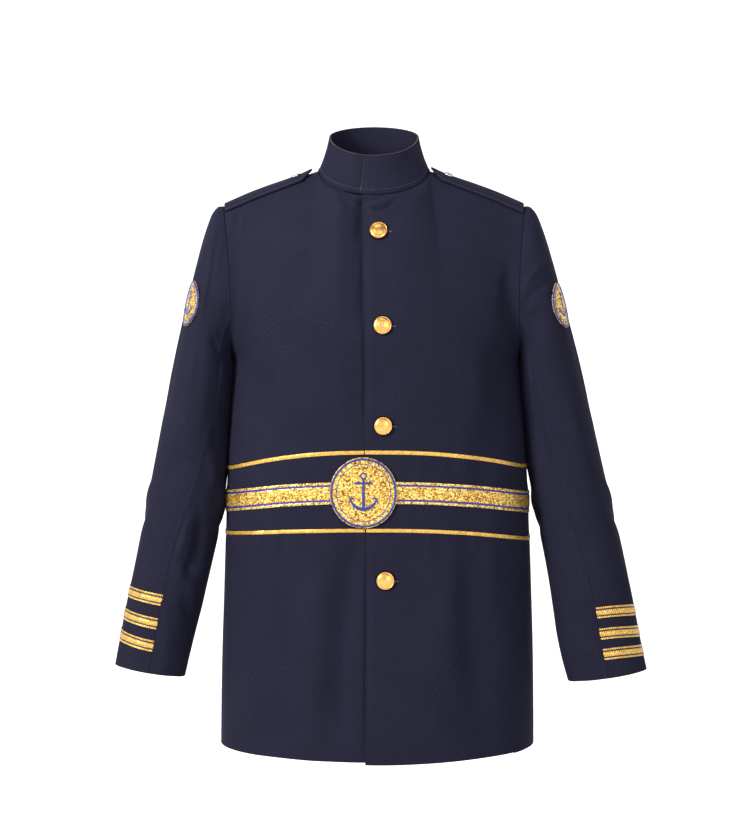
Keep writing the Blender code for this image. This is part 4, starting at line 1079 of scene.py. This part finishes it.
class Spot:
    # A smooth patch fitted through a badge's solid, with its middle, its axes and its sizes

    def __init__(self, nodeName):
        points = solidPoints(nodeName)
        aside = (points[:, 0].min() + points[:, 0].max()) / 2
        away = points - points.mean(0)
        normal = np.linalg.svd(away, full_matrices=False)[2][2]
        outward = np.array([aside if abs(aside) > 0.1 else 0.0, -0.2, 0.0])
        self.normal = normal * np.sign(normal @ outward)
        self.up = unit(np.array([0, 0, 1.0]) - self.normal * self.normal[2])
        self.across = np.cross(self.up, self.normal)
        a, b = away @ self.across, away @ self.up
        self.middle = points.mean(0) + self.across * (a.min() + a.max()) / 2
        self.middle = self.middle + self.up * (b.min() + b.max()) / 2
        away = points - self.middle
        a, b, h = (away @ axis for axis in (self.across, self.up, self.normal))
        self.half = np.array([a.max() - a.min(), b.max() - b.min()]) / 2
        self.fit = np.linalg.lstsq(self.terms(a, b), h, rcond=None)[0]

    def terms(self, a, b):
        a, b = a / badge["patch"], b / badge["patch"]
        return np.stack([np.ones_like(a), a, b, a * a, a * b, b * b, a ** 3, a ** 4,
                         a * a * b, b ** 3], -1)

    def at(self, a, b):
        # Places and normals at metres across and up from the middle
        a, b = np.asarray(a, float), np.asarray(b, float)

        def where(a, b):
            h = self.terms(a, b) @ self.fit
            return self.middle + (a[..., None] * self.across + b[..., None] * self.up
                                  + h[..., None] * self.normal)

        small = 1e-4
        slopeA = where(a + small, b) - where(a - small, b)
        slopeB = where(a, b + small) - where(a, b - small)
        return where(a, b), unit(np.cross(slopeA, slopeB))


def anchorStrands(tall):
    # A plain anchor, as lines of (across, up) with their widths, in metres about its middle
    t = tall
    arc = np.radians(np.linspace(-160, -20, 25))
    arms = np.stack([0.36 * t * np.cos(arc), -0.08 * t + 0.36 * t * np.sin(arc)], -1)
    ring = np.radians(np.linspace(0, 360, 24, endpoint=False))
    eye = np.stack([0.075 * t * np.cos(ring), 0.46 * t + 0.075 * t * np.sin(ring)], -1)
    lines = [
        (np.linspace((0, 0.38 * t), (0, -0.44 * t), 12), np.linspace(0.07, 0.095, 12) * t, False),
        (np.linspace((-0.25 * t, 0.26 * t), (0.25 * t, 0.26 * t), 9),
         np.array([0.04, 0.075, 0.075, 0.07, 0.07, 0.07, 0.075, 0.075, 0.04]) * t, False),
        (arms, (0.055 + 0.05 * np.sin(np.linspace(0, math.pi, 25))) * t, False),
        (eye, 0.045 * t, True),
    ]
    for side in (-1, 1):
        tip = arms[0] if side < 0 else arms[-1]
        for way, size in (((side * -0.13, 0.03), 0.08), ((side * 0.06, -0.13), 0.08)):
            end = tip + np.array(way) * t + np.array([0, 0.04 * t])
            start = tip + np.array([0, 0.05 * t])
            lines.append((np.linspace(start, end, 5), np.linspace(size, 0.012, 5) * t, False))
    return lines


def laidStrand(spot, line, widths, height, closed=False, lift=0.0, sides=8):
    places, normals = spot.at(line[:, 0], line[:, 1])
    return strand(places + normals * lift, normals, widths, height, sides, closed)


def anchorOn(spot, tall, wider, height, lift=0.0):
    return [laidStrand(spot, line, np.asarray(widths) * wider, height, closed, lift)
            for line, widths, closed in anchorStrands(tall)]


def addBadge(nodeName, panelName):
    spot = Spot(nodeName)
    turn = np.linspace(0, 2 * math.pi, badge["sides"], endpoint=False)
    shares = np.concatenate([[0.003], np.linspace(0.04, 0.97, badge["rings"] - 4),
                             [0.985, 0.995, 1.0, 1.0]])
    rise = np.full(len(shares), 0.5)
    rise[-4:] = (0.45, 0.2, -0.3, -1.3)
    a = shares[:, None] * spot.half[0] * np.cos(turn)
    b = shares[:, None] * spot.half[1] * np.sin(turn)
    places, normals = spot.at(a, b)
    places = places + normals * (rise * mm)[:, None, None]
    under, underNormals = spot.at(shares[::-1][1:, None] * a[-1], shares[::-1][1:, None] * b[-1])
    under = under - underNormals * badge["thick"] * mm
    points = np.concatenate([places.reshape(-1, 3), under.reshape(-1, 3)])
    faces = tubeFaces(len(points) // badge["sides"], badge["sides"], flip=True)
    flat = np.stack([a, b], -1).reshape(-1, 2)
    uv = np.concatenate([flat, np.zeros((len(points) - len(flat), 2))])
    ground = meshObject(nodeName + "_ground", points, faces, uv, np.full(len(points), 0.5), 60)
    place(ground, badgeGround, [nodeName])

    def oval(share):
        return np.stack([share * spot.half[0] * np.cos(turn), share * spot.half[1] * np.sin(turn)], -1)

    lift = badge["lift"] * mm
    parts = [
        laidStrand(spot, oval(badge["edge"]), badge["edgeWide"] * mm, 1.15 * mm, True, lift, 12),
        laidStrand(spot, oval(badge["line"]), badge["lineWide"] * mm, 0.75 * mm, True, lift),
        *anchorOn(spot, 2 * spot.half[1] * badge["anchorTall"], 1.0, 1.0 * mm, lift),
    ]
    points, faces, uv = joined(parts)
    work = place(meshObject(nodeName + "_embroidery", points, faces, uv), blueThread)
    onCloth[panelName] += [ground, work]


addBadge("waist_badge", "front_left")
addBadge("arm_badge_left", "sleeve_top_left")
addBadge("arm_badge_right", "sleeve_top_right")

print("Buttons")
button = {
    "sides": 96,
    "profile": (
        # radius and height above the seat, in mm, from the shank over the rim to the dome
        (3.0, -1.6), (3.0, 0.2), (3.2, 0.5), (9.5, 0.7), (11.8, 1.0), (12.3, 1.5),
        (12.3, 2.2), (11.9, 2.5), (11.25, 2.7), (11.1, 3.3), (10.6, 3.35), (10.2, 2.85),
        (9.9, 2.95), (9.0, 3.4), (8.4, 3.65), (8.1, 4.0), (7.75, 4.05), (7.4, 3.95),
        (6.2, 4.35), (4.6, 4.8), (2.8, 5.1), (1.2, 5.2), (0.05, 5.22),
    ),
    # that flange is painted shadow round the rim, in a near-black finish of its own
    "flangeRings": 8,       # the profile's first rings, which are the dark flange behind the rim
    "domeRings": 6,         # its last ones, which the anchor stands on
    "domeTilt": 14,         # how fast the dome falls away round its middle, per metre
    "rope": 11.3,           # mm, the radius of the roped rim
    "ropeWide": 0.7,        # mm
    "ropeTurns": 40,
    "ropeHeight": 0.16,     # mm
    "anchorTall": 9.5,      # mm
}


def axisOf(nodeName):
    # The middle of a turned solid's seat, its axis, and two directions across it
    points = solidPoints(nodeName)
    away = points - points.mean(0)
    axis = np.linalg.eigh(away.T @ away)[1][:, 0]
    outward = np.array([0, -1.0, 0.25])
    axis = axis * np.sign(axis @ outward)
    heights = points @ axis
    middle = (points.min(0) + points.max(0)) / 2
    middle = middle + axis * (heights.min() - middle @ axis)
    up = unit(np.array([0, 0, 1.0]) - axis * axis[2])
    return middle, axis, np.cross(up, axis), up


def turnedMesh(middle, axis, across, up, profile, sides, ripple=None):
    turn = np.linspace(0, 2 * math.pi, sides, endpoint=False)
    rings = []
    for radius, height in profile:
        high = np.full(sides, float(height))
        if ripple:
            high = high + ripple(radius, turn)
        way = across * np.cos(turn)[:, None] + up * np.sin(turn)[:, None]
        rings.append(middle + way * radius * mm + axis * high[:, None] * mm)
    points = np.concatenate(rings)
    flat = np.stack([(points - middle) @ across, (points - middle) @ up], -1)
    return points, tubeFaces(len(profile), sides), flat


class Dome:
    # The top of a button, for what is raised on it
    def __init__(self, middle, axis, across, up, profile):
        self.middle, self.axis, self.across, self.up = middle, axis, across, up
        self.radii = np.array([r for r, _ in profile[::-1]])
        self.heights = np.array([h for _, h in profile[::-1]])

    def at(self, a, b):
        h = np.interp(np.hypot(a, b) / mm, self.radii, self.heights) * mm
        way = a[..., None] * self.across + b[..., None] * self.up
        tilt = self.axis + way * button["domeTilt"]
        return self.middle + way + h[..., None] * self.axis, unit(tilt)


def rope(radius, turn):
    # The twist in the rim, in mm, dying out away from it
    weight = math.exp(-((radius - button["rope"]) / button["ropeWide"]) ** 2)
    return button["ropeHeight"] * weight * np.sin(button["ropeTurns"] * turn + 2.2 * radius)


def buttonholeEnd(middle):
    # The worked end of the buttonhole, which shows past the button on the edge's far side
    bar = threads["buttonhole"]
    away = np.linspace(*bar["reach"], 9)
    spots = middle + np.stack([away, 0 * away, 0 * away - bar["below"]], -1) * mm
    places, normals = cloth["front_left"].at(*cloth["front_left"].find(spots))
    taper = np.array([0.6, 1, 1, 1, 1, 1, 1, 0.9, 0.6])
    return strand(places, normals, bar["wide"] * taper * mm, bar["high"] * mm)


addStitches("buttonhole_ends", [buttonholeEnd(axisOf(f"button_{number}")[0])
                                for number in (1, 2, 3, 4)], seamThread, "front_left")
for number in (1, 2, 3, 4):
    nodeName = f"button_{number}"
    axes = axisOf(nodeName)
    dome = Dome(*axes, button["profile"][-button["domeRings"]:])
    points, faces, uv = joined([turnedMesh(*axes, button["profile"], button["sides"], rope),
                                *anchorOn(dome, button["anchorTall"] * mm, 1.25, 0.75 * mm)])
    made = place(meshObject(nodeName + "_gilt", points, faces, uv, sharp=55),
                 [giltBrass, paintedShadowFlange], [nodeName])
    # the flange's rings get the painted-shadow finish
    for face in made.data.polygons[:button["flangeRings"] * button["sides"]]:
        face.material_index = 1

stud = {
    "sides": 64,
    "profile": (
        (2.2, -0.8), (7.0, -0.8), (7.2, -0.2), (7.0, 0.5), (6.4, 1.1), (5.6, 1.35), (4.9, 1.2),
        (4.4, 0.7), (4.1, 0.1), (3.6, -0.1), (2.9, 0.1), (2.4, 0.6), (1.6, 0.85), (0.05, 0.95),
    ),
}
for side in ("left", "right"):
    middle, axis, across, up = axisOf("strap_stud_" + side)
    if axis[2] < 0:
        axis = -axis
    points, faces, uv = turnedMesh(middle, axis, across, up, stud["profile"], stud["sides"])
    place(meshObject(f"strap_stud_{side}_nickel", points, faces, uv, sharp=60),
          nickelPlate, ["strap_stud_" + side])

for name, piece in clothObjects.items():
    # Only looks up each piece's cloth
    panel = cloth[name]

print("Stage")
view = {
    "eye": (0.0, -2.995, -0.250),
    "aim": (0.0013, 0.005, -0.3239),
    "distance": 3.0,
    "tall": 1.1052,  # metres shown over the picture's long side, at the aim
    "sensor": 36,    # mm
}


def addCamera():
    data = bpy.data.cameras.new("camera")
    data.sensor_width = view["sensor"]
    data.lens = view["sensor"] * view["distance"] / view["tall"]
    camera = bpy.data.objects.new("camera", data)
    camera.location = view["eye"]
    way = Vector(view["aim"]) - Vector(view["eye"])
    camera.rotation_euler = way.to_track_quat("-Z", "Y").to_euler()
    scene.collection.objects.link(camera)
    scene.camera = camera


studio = {
    "floorHeight": -1.05,    # m, as are the next four
    "wallAway": 6.0,
    "wallTall": 6.0,
    "cove": 0.8,             # the bend between floor and wall
    "hub": 0.02,             # the radius at which the floor's sheets begin
    "sides": 96,
    "white": "#f4f4f4",
    "glow": 0.95,            # the paper is lit from behind as well, so it stays white
    "world": 0.30,
}
lamps = {
    # name: place, aim, width, height, watts, hex
    "key": ((-2.2, -2.1, 0.8), (0, 0, -0.30), 0.8, 1.2, 88, "#fffdf8"),
    "fill": ((1.2, -3.0, 0.3), (0, 0, -0.35), 1.0, 1.4, 20, "#f6f7ff"),
    "top": ((-0.3, -0.5, 1.7), (0, 0, 0), 1.2, 0.9, 10, "#ffffff"),
    "behind": ((-0.3, 2.6, 1.2), (0, 0, -0.30), 1.4, 1.4, 14, "#ffffff"),
}


def addStage():
    # Paper all round, so that it stands behind the jacket from every side
    away, cove, sides = studio["wallAway"], studio["cove"], studio["sides"]
    profile = [(studio["hub"], 0.0), (away - cove, 0.0)]
    for a in np.radians(np.linspace(0, 90, 9)[1:]):
        profile.append((away - cove + cove * math.sin(a), cove - cove * math.cos(a)))
    profile.append((away, studio["wallTall"]))
    turn = np.linspace(0, 2 * math.pi, sides, endpoint=False)
    points = [(r * math.cos(a), r * math.sin(a), z + studio["floorHeight"])
              for r, z in profile for a in turn]
    sweep = meshObject("backdrop", points, gridFaces(len(profile), sides, closed=True), sharp=80)
    paper, tree, shader = newMaterial("seamlessPaper")
    wire(tree, shader, {}, {"Base Color": colour(studio["white"]), "Roughness": 0.95,
                            "Emission Color": (1, 1, 1, 1), "Emission Strength": studio["glow"]})
    sweep.data.materials.append(paper)
    sweep.visible_diffuse = False  # it doesn't throw its white back on the dark cloth,
    sweep.visible_shadow = False   # and lets the world's light through
    scene.view_settings.view_transform = "Standard"  # so that the hex colours come true
    world = bpy.data.worlds.new("studio")
    world.use_nodes = True
    wire(world.node_tree, world.node_tree.nodes["Background"], {},
         {"Color": (1, 1, 1, 1), "Strength": studio["world"]})
    scene.world = world
    for name, (spot, aim, wide, tall, watts, tint) in lamps.items():
        data = bpy.data.lights.new(name, "AREA")
        data.shape = "RECTANGLE"
        data.size, data.size_y, data.energy = wide, tall, watts
        data.color = colour(tint)[:3]
        lamp = bpy.data.objects.new(name, data)
        lamp.location = spot
        lamp.rotation_euler = (Vector(aim) - Vector(spot)).to_track_quat("-Z", "Y").to_euler()
        scene.collection.objects.link(lamp)


addCamera()
addStage()
